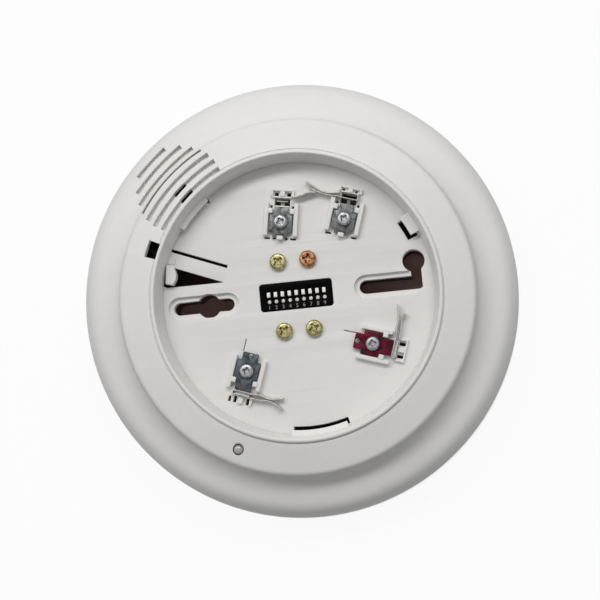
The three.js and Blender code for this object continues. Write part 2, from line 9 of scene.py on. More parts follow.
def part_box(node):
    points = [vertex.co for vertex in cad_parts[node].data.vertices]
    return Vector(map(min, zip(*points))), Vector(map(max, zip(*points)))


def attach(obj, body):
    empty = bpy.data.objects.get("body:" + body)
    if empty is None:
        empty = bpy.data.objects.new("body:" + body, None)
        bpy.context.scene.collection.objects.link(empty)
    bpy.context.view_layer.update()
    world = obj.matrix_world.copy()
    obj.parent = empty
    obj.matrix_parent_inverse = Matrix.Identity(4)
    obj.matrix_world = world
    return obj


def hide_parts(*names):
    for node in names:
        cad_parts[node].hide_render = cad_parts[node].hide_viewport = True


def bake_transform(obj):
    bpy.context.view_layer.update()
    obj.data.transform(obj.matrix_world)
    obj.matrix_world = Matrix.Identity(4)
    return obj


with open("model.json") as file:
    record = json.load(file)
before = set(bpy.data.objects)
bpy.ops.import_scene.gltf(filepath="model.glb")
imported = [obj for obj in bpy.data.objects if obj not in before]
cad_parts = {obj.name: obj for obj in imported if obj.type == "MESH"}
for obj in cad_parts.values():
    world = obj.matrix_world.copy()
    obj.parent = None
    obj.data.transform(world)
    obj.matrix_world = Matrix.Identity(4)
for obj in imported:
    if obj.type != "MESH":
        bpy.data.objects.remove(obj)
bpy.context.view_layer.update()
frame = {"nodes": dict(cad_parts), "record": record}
mm = 0.001
turn = 2 * math.pi


class Value:
    # one output of a node; arithmetic on it adds Math nodes to its tree
    def __init__(self, graph, socket):
        self.graph = graph
        self.socket = socket

    def math(self, operation, *others):
        return self.graph.node("ShaderNodeMath", {"operation": operation}, dict(enumerate([self, *others])))

    def after(self, operation, other):
        return self.graph.node("ShaderNodeMath", {"operation": operation}, {0: other, 1: self})

    def __add__(self, other):
        return self.math("ADD", other)

    def __sub__(self, other):
        return self.math("SUBTRACT", other)

    def __rsub__(self, other):
        return self.after("SUBTRACT", other)

    def __mul__(self, other):
        return self.math("MULTIPLY", other)

    def __truediv__(self, other):
        return self.math("DIVIDE", other)

    def __pow__(self, other):
        return self.math("POWER", other)

    __radd__ = __add__
    __rmul__ = __mul__

    def also(self, name):
        return Value(self.graph, self.socket.node.outputs[name])

    def between(self, low, high):
        # 0 below one value, 1 above another, smooth between them
        settings = {"interpolation_type": "SMOOTHSTEP"}
        return self.graph.node("ShaderNodeMapRange", settings, {0: self, 1: low, 2: high})


class Graph:
    # a node tree, with one method that adds any node to it
    def __init__(self, tree):
        self.tree = tree

    def node(self, kind, settings=None, sockets=None, output=0):
        made = self.tree.nodes.new(kind)
        for name, value in (settings or {}).items():
            setattr(made, name, value)
        for key, value in (sockets or {}).items():
            if isinstance(value, Value):
                self.tree.links.new(value.socket, made.inputs[key])
            else:
                made.inputs[key].default_value = value
        return Value(self, made.outputs[output]) if len(made.outputs) else None

    def mix(self, factor, one, other):
        return self.node("ShaderNodeMix", {"data_type": "RGBA"}, {0: factor, 6: one, 7: other}, 2)

    def place(self):
        return self.node("ShaderNodeTexCoord").also("Object")

    def noise(self, scale, detail=3, roughness=0.5):
        sockets = {"Vector": self.place(), "Scale": scale, "Detail": detail, "Roughness": roughness}
        return self.node("ShaderNodeTexNoise", {}, sockets)

    def bump(self, height, distance):
        return self.node("ShaderNodeBump", {}, {"Height": height, "Distance": distance * mm})

    def moved(self, geometry, *place):
        # geometry whose points go to the given x, y and z
        sockets = {"Geometry": geometry, "Position": combine(self, *place)}
        return self.node("GeometryNodeSetPosition", {}, sockets)

    def cut(self, whole, tools, solver):
        settings = {"operation": "DIFFERENCE", "solver": solver}
        return self.node("GeometryNodeMeshBoolean", settings, {"Mesh 1": whole, "Mesh 2": tools})


def colour(red, green, blue):
    # from screen values of 0 to 255 to the linear ones that shaders use
    def linear(value):
        value /= 255
        return value / 12.92 if value <= 0.04045 else ((value + 0.055) / 1.055) ** 2.4
    return (linear(red), linear(green), linear(blue), 1)


def combine(graph, x, y, z):
    return graph.node("ShaderNodeCombineXYZ", {}, {"X": x, "Y": y, "Z": z})


def separate(graph, vector):
    parts = graph.node("ShaderNodeSeparateXYZ", {}, {"Vector": vector})
    return parts, parts.also("Y"), parts.also("Z")


def material(name, changing, **constant):
    made = bpy.data.materials.new(name)
    made.use_nodes = True
    made.node_tree.nodes.clear()
    graph = Graph(made.node_tree)
    sockets = {key.replace("_", " "): value for key, value in constant.items()}
    surface = graph.node("ShaderNodeBsdfPrincipled", {}, {**sockets, **changing(graph)})
    graph.node("ShaderNodeOutputMaterial", {}, {"Surface": surface})
    return made


# painted shade where hardly any light gets in: tint is its near-black colour; in millimetres, each pair is
# where a mask starts and ends its rise
hidden = {
    "tint": (16, 13, 13), "ringWall": (51.5, 51.8), "ringFar": (63, 63.5), "ringRoof": (25.8, 26.2),
    "deckRim": (51.2, 51.6), "coverRim": (50.5, 51), "coverFloor": (1.3, 1.6),
}


def past(value, limit):
    low, high = hidden[limit]
    return value.between(low * mm, high * mm)


def fromAxis(graph):
    # the distance from the axis, and the height
    east, north, up = separate(graph, graph.place())
    return (east * east + north * north).math("SQRT"), up


def shellInside(graph):
    # one on the hidden inside of the raised ring, where the shell gets painted shade
    radius, up = fromAxis(graph)
    return past(radius, "ringWall") * (1 - past(radius, "ringFar")) * (1 - past(up, "ringRoof"))


def underRing(graph):
    # one on what reaches out under the raised ring, past the well's wall, where the deck gets painted shade
    return past(fromAxis(graph)[0], "deckRim")


def coverInside(graph):
    # one on the part of the cover that closes the raised ring from behind, where the cover gets painted shade
    radius, up = fromAxis(graph)
    return past(radius, "coverRim") * past(up, "coverFloor")


def mouldedPlastic(name, base, tint, grain, roughness=0.45, ior=1.5, paintedShade=None):
    # spark-eroded moulding: a fine grain, faint flow marks and a few rubbed spots, with painted shade mixed
    # in where a mask is given
    def changing(graph):
        flow = graph.noise(22, 4)
        fine = graph.noise(2600, 2, 0.6)
        coarse = graph.noise(420, 3)
        rubbed = graph.noise(65, 5, 0.65).between(0.6, 0.74)
        shade = (flow * 0.7 + coarse * 0.3).between(0.3, 0.7)
        paint = graph.mix(shade, colour(*base), colour(*tint))
        # painted shade: the near-black tint laid over the colour where the mask says little light gets in
        if paintedShade:
            paint = graph.mix(paintedShade(graph), paint, colour(*hidden["tint"]))
        return {
            "Base Color": paint,
            "Roughness": roughness + fine * 0.12 - rubbed * 0.08,
            "Normal": graph.bump(fine * 0.7 + coarse * 0.3, grain),
        }
    return material(name, changing, IOR=ior)


def platedMetal(name, base, tint, roughness, scratches=0.004, metallic=1.0):
    # plated sheet and wire: blotched plating with fine drawn lines
    def changing(graph):
        blotch = graph.noise(700, 4, 0.6).between(0.35, 0.68)
        fine = graph.noise(5200, 2)
        return {
            "Base Color": graph.mix(blotch, colour(*base), colour(*tint)),
            "Roughness": roughness + blotch * 0.14 + fine * 0.06,
            "Normal": graph.bump(fine + blotch, scratches),
        }
    return material(name, changing, Metallic=metallic)


def rolledPlate(name, base, tint, roughness, metallic):
    # pressed plate with rolling lines across it and worn, darker blotches
    def changing(graph):
        lines = graph.node("ShaderNodeMapping", {}, {
            "Vector": graph.place(), "Rotation": (0, 0, 0.3), "Scale": (9, 1, 1),
        })
        rolled = graph.node("ShaderNodeTexNoise", {}, {"Vector": lines, "Scale": 500, "Detail": 3})
        worn = graph.noise(480, 4, 0.6).between(0.4, 0.66)
        return {
            "Base Color": graph.mix(worn, colour(*base), colour(*tint)),
            "Roughness": roughness + worn * 0.18 + rolled * 0.08,
            "Normal": graph.bump(rolled * 0.6 + worn * 0.4, 0.02),
        }
    return material(name, changing, Metallic=metallic)


def solderMask(name):
    # green mask over copper tracks that run on a grid
    def changing(graph):
        cells = graph.node("ShaderNodeTexBrick", {"offset": 0.3}, {
            "Vector": graph.place(), "Scale": 210, "Mortar Size": 0.09, "Mortar Smooth": 0.2,
            "Color1": (0, 0, 0, 1), "Color2": (0, 0, 0, 1), "Mortar": (1, 1, 1, 1),
        }, 1)
        track = cells * graph.noise(150, 2).between(0.45, 0.55)
        return {
            "Base Color": graph.mix(track, colour(11, 32, 22), colour(26, 60, 40)),
            "Roughness": 0.32 + graph.noise(900, 3) * 0.15,
            "Normal": graph.bump(track, 0.035),
        }
    return material(name, changing, Coat_Weight=0.4, Coat_Roughness=0.2)


def foamSkin(name):
    # open cells, with painted shade darkening the pit in the middle of each
    def changing(graph):
        cells = graph.node("ShaderNodeTexVoronoi", {}, {"Vector": graph.place(), "Scale": 1900})
        return {
            "Base Color": graph.mix(cells, colour(24, 24, 26), colour(62, 62, 64)),
            "Roughness": 0.8 + cells * 0.2,
            "Normal": graph.bump(cells, 0.12),
        }
    return material(name, changing)


def clearMoulding(name):
    # a small diffusing light pipe, milky with a polished end
    def changing(graph):
        cloud = graph.noise(900, 3)
        return {
            "Base Color": graph.mix(cloud, colour(150, 146, 142), colour(198, 196, 192)),
            "Roughness": 0.08 + cloud * 0.1,
            "Normal": graph.bump(graph.noise(2400, 2), 0.004),
        }
    return material(name, changing, IOR=1.49, Coat_Weight=0.6, Coat_Roughness=0.05)


print("materials")
housingWhite = mouldedPlastic("housingWhite", (228, 227, 225), (233, 232, 230), 0.02, paintedShade=shellInside)
deckWhite = mouldedPlastic("deckWhite", (226, 225, 223), (231, 230, 228), 0.012, 0.4, paintedShade=underRing)
coverBrown = mouldedPlastic("coverBrown", (92, 66, 60), (102, 75, 68), 0.03, 0.5, 1.35, coverInside)
switchBlack = mouldedPlastic("switchBlack", (6, 5, 6), (12, 10, 11), 0.01, 0.25, 1.12)
knobWhite = mouldedPlastic("knobWhite", (250, 247, 243), (253, 251, 248), 0.006, 0.4)
dotPink = mouldedPlastic("dotPink", (244, 238, 236), (250, 246, 244), 0.006, 0.4)
printGrey = mouldedPlastic("printGrey", (140, 135, 134), (162, 156, 155), 0.004, 0.6)
yellowZinc = platedMetal("yellowZinc", (216, 209, 164), (146, 138, 88), 0.32)
copperZinc = platedMetal("copperZinc", (222, 176, 136), (142, 92, 60), 0.34)
brightSteel = platedMetal("brightSteel", (206, 207, 208), (160, 162, 166), 0.34)
springMetal = platedMetal("springMetal", (222, 220, 216), (190, 188, 184), 0.4, metallic=0.65)
clampGrey = rolledPlate("clampGrey", (126, 128, 128), (78, 80, 81), 0.34, 0.8)
clampBlue = rolledPlate("clampBlue", (100, 106, 110), (60, 66, 70), 0.34, 0.8)
clampRed = rolledPlate("clampRed", (108, 6, 38), (46, 1, 14), 0.36, 0.6)
boardGreen = solderMask("boardGreen")
clearLens = clearMoulding("clearLens")
piezoBrass = platedMetal("piezoBrass", (196, 164, 92), (160, 128, 66), 0.3, 0.01)
blackFoam = foamSkin("blackFoam")

paintOf = {
    "housing_plastic": housingWhite, "deck_plastic": deckWhite, "inner_plastic": coverBrown,
    "black_plastic": switchBlack, "slider_plastic": knobWhite, "yellow_zinc": yellowZinc,
    "screw_steel": brightSteel, "spring_metal": springMetal, "clamp_grey": clampGrey,
    "clamp_red": clampRed, "board_green": boardGreen, "clear_lens": clearLens,
    "piezo_brass": piezoBrass, "foam": blackFoam,
}
slotOf = {part["node"]: part["material_slot"] for part in frame["record"]["subparts"]}
for name, node in frame["nodes"].items():
    node.data.materials.clear()
    node.data.materials.append(paintOf[slotOf[name]])


def middle(node):
    # of a node's box, in millimetres
    low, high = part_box(node)
    return (low + high) / 2 / mm


def middles(name, count):
    return [middle(f"{name}_{i}") for i in range(1, count + 1)]


def heights(node):
    return [corner.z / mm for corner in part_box(node)]


def added(name, data):
    made = bpy.data.objects.new(name, data)
    bpy.context.scene.collection.objects.link(made)
    return made


def tidied(mesh):
    # doubles merged and faces turned outwards
    work = bmesh.new()
    work.from_mesh(mesh)
    bmesh.ops.remove_doubles(work, verts=work.verts, dist=1e-7)
    bmesh.ops.dissolve_degenerate(work, edges=work.edges, dist=1e-8)
    bmesh.ops.recalc_face_normals(work, faces=work.faces)
    work.to_mesh(mesh)
    work.free()


def plain(source, name):
    # the mesh that an object's curve, nodes and modifiers come to; the object itself goes
    graph = bpy.context.evaluated_depsgraph_get()
    mesh = bpy.data.meshes.new_from_object(source.evaluated_get(graph))
    bpy.data.objects.remove(source)
    tidied(mesh)
    mesh.name = name
    return added(name, mesh)


def finished(obj, paint, body, nodes, sharp=32):
    mesh = obj.data
    if paint:
        mesh.materials.clear()
        mesh.materials.append(paint)
    mesh.shade_smooth()
    mesh.set_sharp_from_angle(angle=math.radians(sharp))
    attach(obj, body)
    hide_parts(*nodes)
    return obj


def combined(operation, first, others):
    # one clean boolean after another with everything in others
    for other in others:
        modifier = first.modifiers.new("cut", "BOOLEAN")
        modifier.operation = operation
        modifier.solver = "MANIFOLD"
        modifier.object = other
    name = first.name
    first.name = name + "Raw"
    made = plain(first, name)
    for other in others:
        bpy.data.objects.remove(other)
    return made


def merged(objects):
    # several meshes as one, without cutting them
    work = bmesh.new()
    for obj in objects:
        work.from_mesh(obj.data)
    mesh = bpy.data.meshes.new(objects[0].name)
    work.to_mesh(mesh)
    work.free()
    for obj in objects:
        bpy.data.objects.remove(obj)
    return added(mesh.name, mesh)


# flat outlines, in millimetres

def polar(radius, degrees):
    angle = math.radians(degrees)
    return Vector((radius * math.cos(angle), radius * math.sin(angle)))


def arc(centre, radius, start, span, steps):
    return [Vector(centre[:2]) + polar(radius, start + span * i / steps) for i in range(steps + 1)]


def circle(centre, radius, steps=48):
    return arc(centre, radius, 0, 360, steps)[:-1]


def rounded(corners, radius, steps=4):
    # a polygon with every corner turned into an arc
    points = []
    for i, corner in enumerate(corners):
        here = Vector(corner)
        before = (Vector(corners[i - 1]) - here).normalized()
        after = (Vector(corners[(i + 1) % len(corners)]) - here).normalized()
        half = before.angle(after) / 2
        centre = here + (before + after).normalized() * radius / math.sin(half)
        start = here + before * radius / math.tan(half) - centre
        swing = (here + after * radius / math.tan(half) - centre).angle_signed(start)
        for step in range(steps + 1):
            angle = math.atan2(start.y, start.x) + swing * step / steps
            points.append(centre + Vector((math.cos(angle), math.sin(angle))) * radius)
    return points


def rectangle(fromX, toX, fromY, toY, corner=0.25):
    return rounded([(fromX, fromY), (toX, fromY), (toX, toY), (fromX, toY)], corner)


def arcBand(inner, outer, start, end, steps=24):
    far = arc((0, 0), outer, start, end - start, steps)
    return arc((0, 0), inner, start, end - start, steps) + far[::-1]


def slotOutline(fromX, toX, y, width, margin=0.0, steps=12):
    radius = width / 2 + margin
    rightEnd = arc((toX - width / 2, y), radius, -90, 180, steps)
    return rightEnd + arc((fromX + width / 2, y), radius, 90, 180, steps)


def placed(points, place, degrees=0.0):
    spin = Matrix.Rotation(math.radians(degrees), 2)
    return [spin @ Vector(point) + Vector(place[:2]) for point in points]


def softened(points, steps=6):
    # a smooth line through the points
    ends = [points[0], *points, points[-1]]
    line = []
    for a, b, c, d in zip(ends, ends[1:], ends[2:], ends[3:]):
        a, b, c, d = Vector(a), Vector(b), Vector(c), Vector(d)
        for step in range(steps):
            t = step / steps
            line.append((2 * b + (c - a) * t + (2 * a - 5 * b + 4 * c - d) * t ** 2
                         + (3 * b - a - 3 * c + d) * t ** 3) / 2)
    return [*line, Vector(points[-1])]


def strip(line, thickness):
    # the outline of sheet metal seen on edge
    sides = []
    for sign in (1, -1):
        side = []
        for i, point in enumerate(line):
            along = (line[min(i + 1, len(line) - 1)] - line[max(i - 1, 0)]).normalized()
            side.append(point + Vector((-along.y, along.x)) * sign * thickness / 2)
        sides.append(side)
    return sides[0] + sides[1][::-1]


def plate(name, outlines, low, high, edge=0.15, steps=2):
    # a filled outline with its holes, between two heights, with its edges rounded
    curve = bpy.data.curves.new(name, "CURVE")
    curve.dimensions = "2D"
    curve.fill_mode = "BOTH"
    for points in outlines:
        spline = curve.splines.new("POLY")
        spline.points.add(len(points) - 1)
        for point, (x, y) in zip(spline.points, points):
            point.co = (x * mm, y * mm, 0, 1)
        spline.use_cyclic_u = True
    curve.extrude = ((high - low) / 2 - edge) * mm
    curve.bevel_depth = edge * mm
    curve.bevel_resolution = steps
    curve.offset = -edge * mm
    made = plain(added(name + "Curve", curve), name)
    made.data.transform(Matrix.Translation((0, 0, (low + high) / 2 * mm)))
    return made


def loft(name, rings, heights):
    # a closed skin through rings of equally many points, one at each height
    count = len(rings[0])
    points = [(x * mm, y * mm, z * mm) for ring, z in zip(rings, heights) for x, y in ring]
    faces = [tuple(range(count))[::-1], tuple(range(len(points) - count, len(points)))]
    for level in range(len(rings) - 1):
        for i in range(count):
            a, b = level * count + i, level * count + (i + 1) % count
            faces.append((a, b, b + count, a + count))
    mesh = bpy.data.meshes.new(name)
    mesh.from_pydata(points, [], faces)
    tidied(mesh)
    return added(name, mesh)


def moved(obj, place, degrees=0.0, z=0.0):
    spin = Matrix.Rotation(math.radians(degrees), 4, "Z")
    obj.data.transform(Matrix.Translation((place[0] * mm, place[1] * mm, z * mm)) @ spin)
    return obj


# node trees that make meshes

def geometryTree(name, inputs):
    tree = bpy.data.node_groups.new(name, "GeometryNodeTree")
    tree.interface.new_socket("Geometry", in_out="INPUT", socket_type="NodeSocketGeometry")
    for label, kind in inputs.items():
        tree.interface.new_socket(label, in_out="INPUT", socket_type="NodeSocket" + kind)
    tree.interface.new_socket("Geometry", in_out="OUTPUT", socket_type="NodeSocketGeometry")
    graph = Graph(tree)
    entry = tree.nodes.new("NodeGroupInput")
    return graph, {socket.name: Value(graph, socket) for socket in entry.outputs if socket.name}


def closeTree(graph, geometry, paint):
    whole = graph.node("GeometryNodeRealizeInstances", {}, {"Geometry": geometry})
    painted = graph.node("GeometryNodeSetMaterial", {}, {"Geometry": whole, "Material": paint})
    graph.node("NodeGroupOutput", {}, {"Geometry": painted})
    return graph.tree


def runTree(source, tree, inputs, name):
    modifier = source.modifiers.new(tree.name, "NODES")
    modifier.node_group = tree
    for item in tree.interface.items_tree:
        if item.in_out == "INPUT" and item.name in inputs:
            modifier[item.identifier] = inputs[item.name]
    return plain(source, name)


def latheTree():
    # turns a closed line of radius and height round the axis
    graph, given = geometryTree("lathe", {"Segments": "Int"})
    line = given["Geometry"]
    count = graph.node("GeometryNodeAttributeDomainSize", {"component": "CURVE"}, {"Geometry": line})
    grid = graph.node("GeometryNodeMeshGrid", {}, {
        "Size X": 1.0, "Size Y": 1.0, "Vertices X": given["Segments"] + 1, "Vertices Y": count + 1,
    })
    across, along, _ = separate(graph, graph.node("GeometryNodeInputPosition"))
    station = ((along + 0.5) * count + 0.5).math("FLOOR").math("MODULO", count)
    point = graph.node("GeometryNodeSampleIndex", {"data_type": "FLOAT_VECTOR"}, {
        "Geometry": line, "Value": graph.node("GeometryNodeInputPosition"), "Index": station,
    })
    radius, height, _ = separate(graph, point)
    angle = (across + 0.5) * turn
    skin = graph.moved(grid, radius * angle.math("COSINE"), radius * angle.math("SINE"), height)
    closed = graph.node("GeometryNodeMergeByDistance", {}, {"Geometry": skin, "Distance": 1e-7})
    graph.node("NodeGroupOutput", {}, {"Geometry": closed})
    return graph.tree


lathe = latheTree()


def lineCurve(name, points):
    # a closed line of (radius, height) points, wound so that the turned faces point outwards
    area = sum(a[0] * b[1] - b[0] * a[1] for a, b in zip(points, [*points[1:], points[0]]))
    ordered = points if area > 0 else points[::-1]
    curve = bpy.data.curves.new(name, "CURVE")
    curve.dimensions = "3D"
    spline = curve.splines.new("POLY")
    spline.points.add(len(ordered) - 1)
    for point, (radius, height) in zip(spline.points, ordered):
        point.co = (radius * mm, height * mm, 0, 1)
    spline.use_cyclic_u = True
    return added(name, curve)


def turnedPiece(name, points, place, segments=48):
    made = runTree(lineCurve(name + "Line", points), lathe, {"Segments": segments}, name)
    return moved(made, place)


def ease(start, corner, end, steps):
    # points of a curve that leaves start and reaches end along its two tangents
    line = []
    for step in range(steps + 1):
        t = step / steps
        line.append(tuple(a * (1 - t) ** 2 + 2 * b * t * (1 - t) + c * t ** 2
                          for a, b, c in zip(start, corner, end)))
    return line


print("housing")
ringLow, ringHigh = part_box("front_housing")
deckLow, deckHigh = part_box("terminal_deck")
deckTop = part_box("lock_arm")[0].z / mm + 2
layout = middle("address_switch_body")
housing = {
    "segments": 320,
    "outer": ringHigh.x / mm,
    "rim": ringHigh.z / mm,
    "foot": 79.5,
    "wallTop": 11.5,
    "wallCorner": 14.7,
    "edge": (77.7, 17.8),
    "edgeCorner": (76.4, 19.55),
    "shoulderEdge": (74.2, 20.25),
    "slope": [(73.1, 20.58), (72, 20.9)],
    "shoulder": (71, 21.2),
    "shoulderCorner": (65.83, 23.1),
    "riserFoot": (65.3, 25.4),
    "riser": [(65.03, 26.7), (64.76, 28)],
    "riserTop": (64.5, 29.2),
    "riserCorner": (64.2, 30.1),
    "plateau": (63, 30.4),
    "plateauSlope": 2.5 / 9.8,
    "groove": [((53.6, 32.8), (53.2, 32.9), (53.15, 32.45)), ((53.05, 32.4), (52.85, 32.4), (52.8, 32.9))],
    "bead": [(52.75, 33.5), 52.65, 51.95],
    "wellRim": 51.4,
    "wellFoot": 49.5,
    "wellFootHeight": 22.8,
    "lining": [(51.7, 22.8), (53.3, 28.4), (61.3, 25.9), (62.6, 22.5), (64.9, 18.2), (70.3, 16.9), (74, 15.2),
               (76, 13), (77.5, 10.5), (77.4, 0)],
}


def housingLine():
    # half the section of the ring, from its foot up over the steps and down the well
    s = housing
    outer, rim, foot, well, deckLine = s["outer"], s["rim"], s["foot"], s["wellFoot"], s["wellFootHeight"]
    line = ease((foot - 0.5, 0), (foot, 0), (foot + 0.03, 0.5), 3)
    line += [(foot + (outer - foot) * z / s["wallTop"], z) for z in (2, 4, 6, 8, 10)]
    line += ease((outer, s["wallTop"]), (outer, s["wallCorner"]), s["edge"], 12)
    line += ease(s["edge"], s["edgeCorner"], s["shoulderEdge"], 10)[1:]
    line += s["slope"]
    line += ease(s["shoulder"], s["shoulderCorner"], s["riserFoot"], 14)
    line += s["riser"]
    line += ease(s["riserTop"], s["riserCorner"], s["plateau"], 8)
    edge, level = s["plateau"]
    line += [(radius, level + (edge - radius) * s["plateauSlope"]) for radius in (61, 59, 57, 55)]
    for curve in s["groove"]:
        line += ease(*curve, 3)
    start, corner, crown = s["bead"]
    line += ease(start, (corner, rim), (crown, rim), 5)
    lip = (s["wellRim"] - 0.05, rim - 0.6)
    line += ease((crown - 0.1, rim), (s["wellRim"] + 0.05, rim), lip, 5)
    line += [(well + (lip[0] - well) * t, deckLine + (lip[1] - deckLine) * t) for t in (0.75, 0.5, 0.25)]
    line += ease((well + 0.03, deckLine + 0.3), (well, deckLine), (well + 0.3, deckLine), 2)
    return line + s["lining"]


def perforatedTree():
    # a shell with rows of arc grooves, narrower at the waist, whose edges roll over into its surface
    graph, given = geometryTree("perforatedHousing", {
        "Rows": "Int", "Angle": "Float", "First radius": "Float", "Pitch": "Float",
        "Slot width": "Float", "Waist": "Float", "Centre radius": "Float", "Reach": "Float", "Edge": "Float",
        "Depth": "Float", "Lift": "Float", "Steps": "Int", "Material": "Material",
    })
    shell = given["Geometry"]
    levels = 7
    bar = graph.node("GeometryNodeMeshCube", {}, {
        "Size": (1, 1, 1), "Vertices X": 2, "Vertices Y": given["Steps"], "Vertices Z": levels,
    })
    points = graph.node("GeometryNodePoints", {}, {"Count": given["Rows"]})
    rows = graph.node("GeometryNodeStoreNamedAttribute", {"data_type": "FLOAT"}, {
        "Geometry": points, "Name": "row", "Value": graph.node("GeometryNodeInputIndex"),
    })
    bars = graph.node("GeometryNodeInstanceOnPoints", {}, {"Points": rows, "Instance": bar})
    bars = graph.node("GeometryNodeRealizeInstances", {}, {"Geometry": bars})
    row = graph.node("GeometryNodeInputNamedAttribute", {"data_type": "FLOAT"}, {"Name": "row"})
    across, along, up = separate(graph, graph.node("GeometryNodeInputPosition"))
    level = (up + 0.5) * (levels - 1)
    rise = ((level - 1) / (levels - 3)).math("MAXIMUM", 0).math("MINIMUM", 1)
    flare = given["Edge"] * (1 - (1 - rise * rise).math("MAXIMUM", 0).math("SQRT"))
    centre = given["First radius"] + row * given["Pitch"]
    reach = given["Reach"] + flare
    chord = (reach * reach - (centre - given["Centre radius"]) ** 2).math("SQRT")
    angle = given["Angle"] + along * 2 * (chord / centre).math("ARCSINE")
    width = given["Slot width"] * (1 - given["Waist"] * (1 - along * along * 4))
    radius = centre + across * (width + flare * 2)
    east, north = radius * angle.math("COSINE"), radius * angle.math("SINE")
    hit = graph.node("GeometryNodeRaycast", {}, {
        "Target Geometry": shell, "Source Position": combine(graph, east, north, given["Lift"] * 20),
        "Ray Direction": (0, 0, -1), "Ray Length": 1.0,
    }, 1)
    _, _, top = separate(graph, hit)
    above = level.between(levels - 2, levels - 1) * given["Lift"]
    height = top - given["Edge"] * (1 - rise) + 0.00001 + above
    below = level.math("LESS_THAN", 0.5)
    height = height * (1 - below) + (top - given["Depth"]) * below
    opened = graph.cut(shell, graph.moved(bars, east, north, height), "MANIFOLD")
    return closeTree(graph, opened, given["Material"])


grille = {
    "Rows": 7, "Angle": math.radians(132), "First radius": 54 * mm, "Pitch": 3.42 * mm,
    "Slot width": 1.75 * mm, "Waist": 0.3, "Centre radius": 60 * mm, "Reach": 16.2 * mm, "Edge": 0.25 * mm,
    "Depth": 2.5 * mm, "Lift": 2 * mm, "Steps": 26, "Material": housingWhite,
}
through = {**grille, "Depth": 7 * mm, "Waist": 0.0, "Steps": 8}
ports = {
    **through, "Rows": 2, "Centre radius": 55.7 * mm, "Reach": 3.3 * mm, "Edge": 0.12 * mm,
    "Angle": math.radians(132.2), "Slot width": 1.6 * mm,
}
toolOpening = {
    **through, "Rows": 1, "Angle": math.radians(156.7), "First radius": 54.9 * mm, "Slot width": 4.4 * mm,
    "Centre radius": 54.9 * mm, "Reach": 3.05 * mm, "Edge": 0.15 * mm,
}
ledges = {
    "arcs": [(46.6, 23, 32), (48.2, -97.9, -73.7), (48.2, 127.4, 143.9)],
    "slits": [(45, 49, 22, 31.3), (46.8, 49.2, -97.4, -72.9)],
    "peep": [(49.3, 126.9), (47.6, 127.5), (49.3, 129.3)],
    "root": 50.9,
    "bottom": 24.9,
    "top": 26.5,
}
lamp = {"place": middle("light_pipe"), "hole": 2.0, "seat": 25, "lens": 1.6}
coverScrews = {"places": middles("cover_screw", 3), "boss": 3.4, "hole": 1.7, "bottom": 4.3, "top": 19.6}


def collar(name, place, outer, inner, low, high, edge, steps=(48, 48)):
    # a flat ring between two heights
    rims = [circle(place, outer, steps[0]), circle(place, inner, steps[1])]
    return plate(name, rims, low, high, edge)


def frontHousing():
    tree = perforatedTree()
    line = lineCurve("housingLine", housingLine())
    shell = runTree(line, lathe, {"Segments": housing["segments"]}, "shell")
    for name, sizes in (("grilled", grille), ("ported", ports), ("opened", toolOpening)):
        shell = runTree(shell, tree, sizes, name)
    s = ledges
    shelves = [
        plate("shelf", [arcBand(inner, s["root"], start, end)], s["bottom"], s["top"], 0.2)
        for inner, start, end in s["arcs"]
    ]
    s = coverScrews
    sizes = s["boss"], s["hole"], s["bottom"], s["top"]
    bosses = [collar("boss", place, *sizes, 0.2) for place in s["places"]]
    shell = combined("UNION", shell, shelves + bosses)
    hole, low = lamp["hole"], lamp["seat"]
    seat = [(0, low), (hole, low), (hole, 31.3), (hole + 0.12, 31.6), (hole + 0.5, 31.9)]
    seat += [(hole + 0.6, 34), (0, 34)]
    shell = combined("DIFFERENCE", shell, [turnedPiece("lampSeat", seat, lamp["place"], 40)])
    shell.name = "housingShell"
    return finished(shell, housingWhite, "base", ["front_housing"], 38)


frontHousing()

print("deck")
deck = {
    "radius": 51.0,
    "bottom": deckLow.z / mm,
    "top": deckTop,
    "window": (26.7, 10.2),
    "boss": 3.7,
    "bossBottom": 16.3,
    "screwHole": 2.0,
    "leftSlot": {"from": -45.2, "to": -22.9, "y": -0.75, "width": 4.7, "bulge": (-32.25, -0.7, 4.35)},
    "rightSlot": {"from": 23.1, "to": 46.1, "recessTo": 44.2, "y": 0.5, "width": 5.0, "neck": 42.2,
                  "hole": (43.6, 8.3, 4.05)},
    "recess": 1.9,
    "recessDepth": 1.7,
    "recessSlope": 0.15,
}
arm = {
    "root": Vector((-25.3, 9.95)), "angle": 158.2, "width": 5.3, "length": 30.6, "slit": 1.15,
    "thickness": 2.0, "windowEdge": 7.35, "bend": 4.5, "bendSteps": 8,
    "tooth": [(-46.1, 15.4), (-43.9, 15.4), (-43.1, 13.4), (-42.7, 11.7), (-43, 10), (-44.3, 7.9),
              (-47, 8.6)],
    "toothTop": 25.6,
    "pad": [(-45.8, 18.3), (-42.8, 18), (-42.9, 15.8), (-45.7, 15.8)],
    "padTop": 22.9,
}
boardScrewPlaces = middles("board_screw", 4)
terminalPlaces = dict(enumerate(middles("terminal_screw", 4), 1))
facing = {1: 81, 2: 72, 3: -18, 4: -109}  # which way each terminal's fork lies
hand = {1: -1, 2: 1, 3: 1, 4: 1}  # the side its open end is on
scribed = {3: 2.7, 4: -3.2}  # a fine slit behind the long clamps
shortClamp = (1, 2)
rails = {
    "top": 25.0, "sunk": 0.5, "from": -5.2, "to": 7.2, "openTo": 6.4, "across": 5.45, "half": 0.85,
    "hook": (3, 4.9, 3.15, 4.9), "hookTop": 25.4, "stop": (-6.5, -5, -1.1, 1.1),
    "combTop": 24, "combHalf": 3.9, "bridgeTop": 23.6, "barTop": 24.02, "barHalf": 4.3,
}
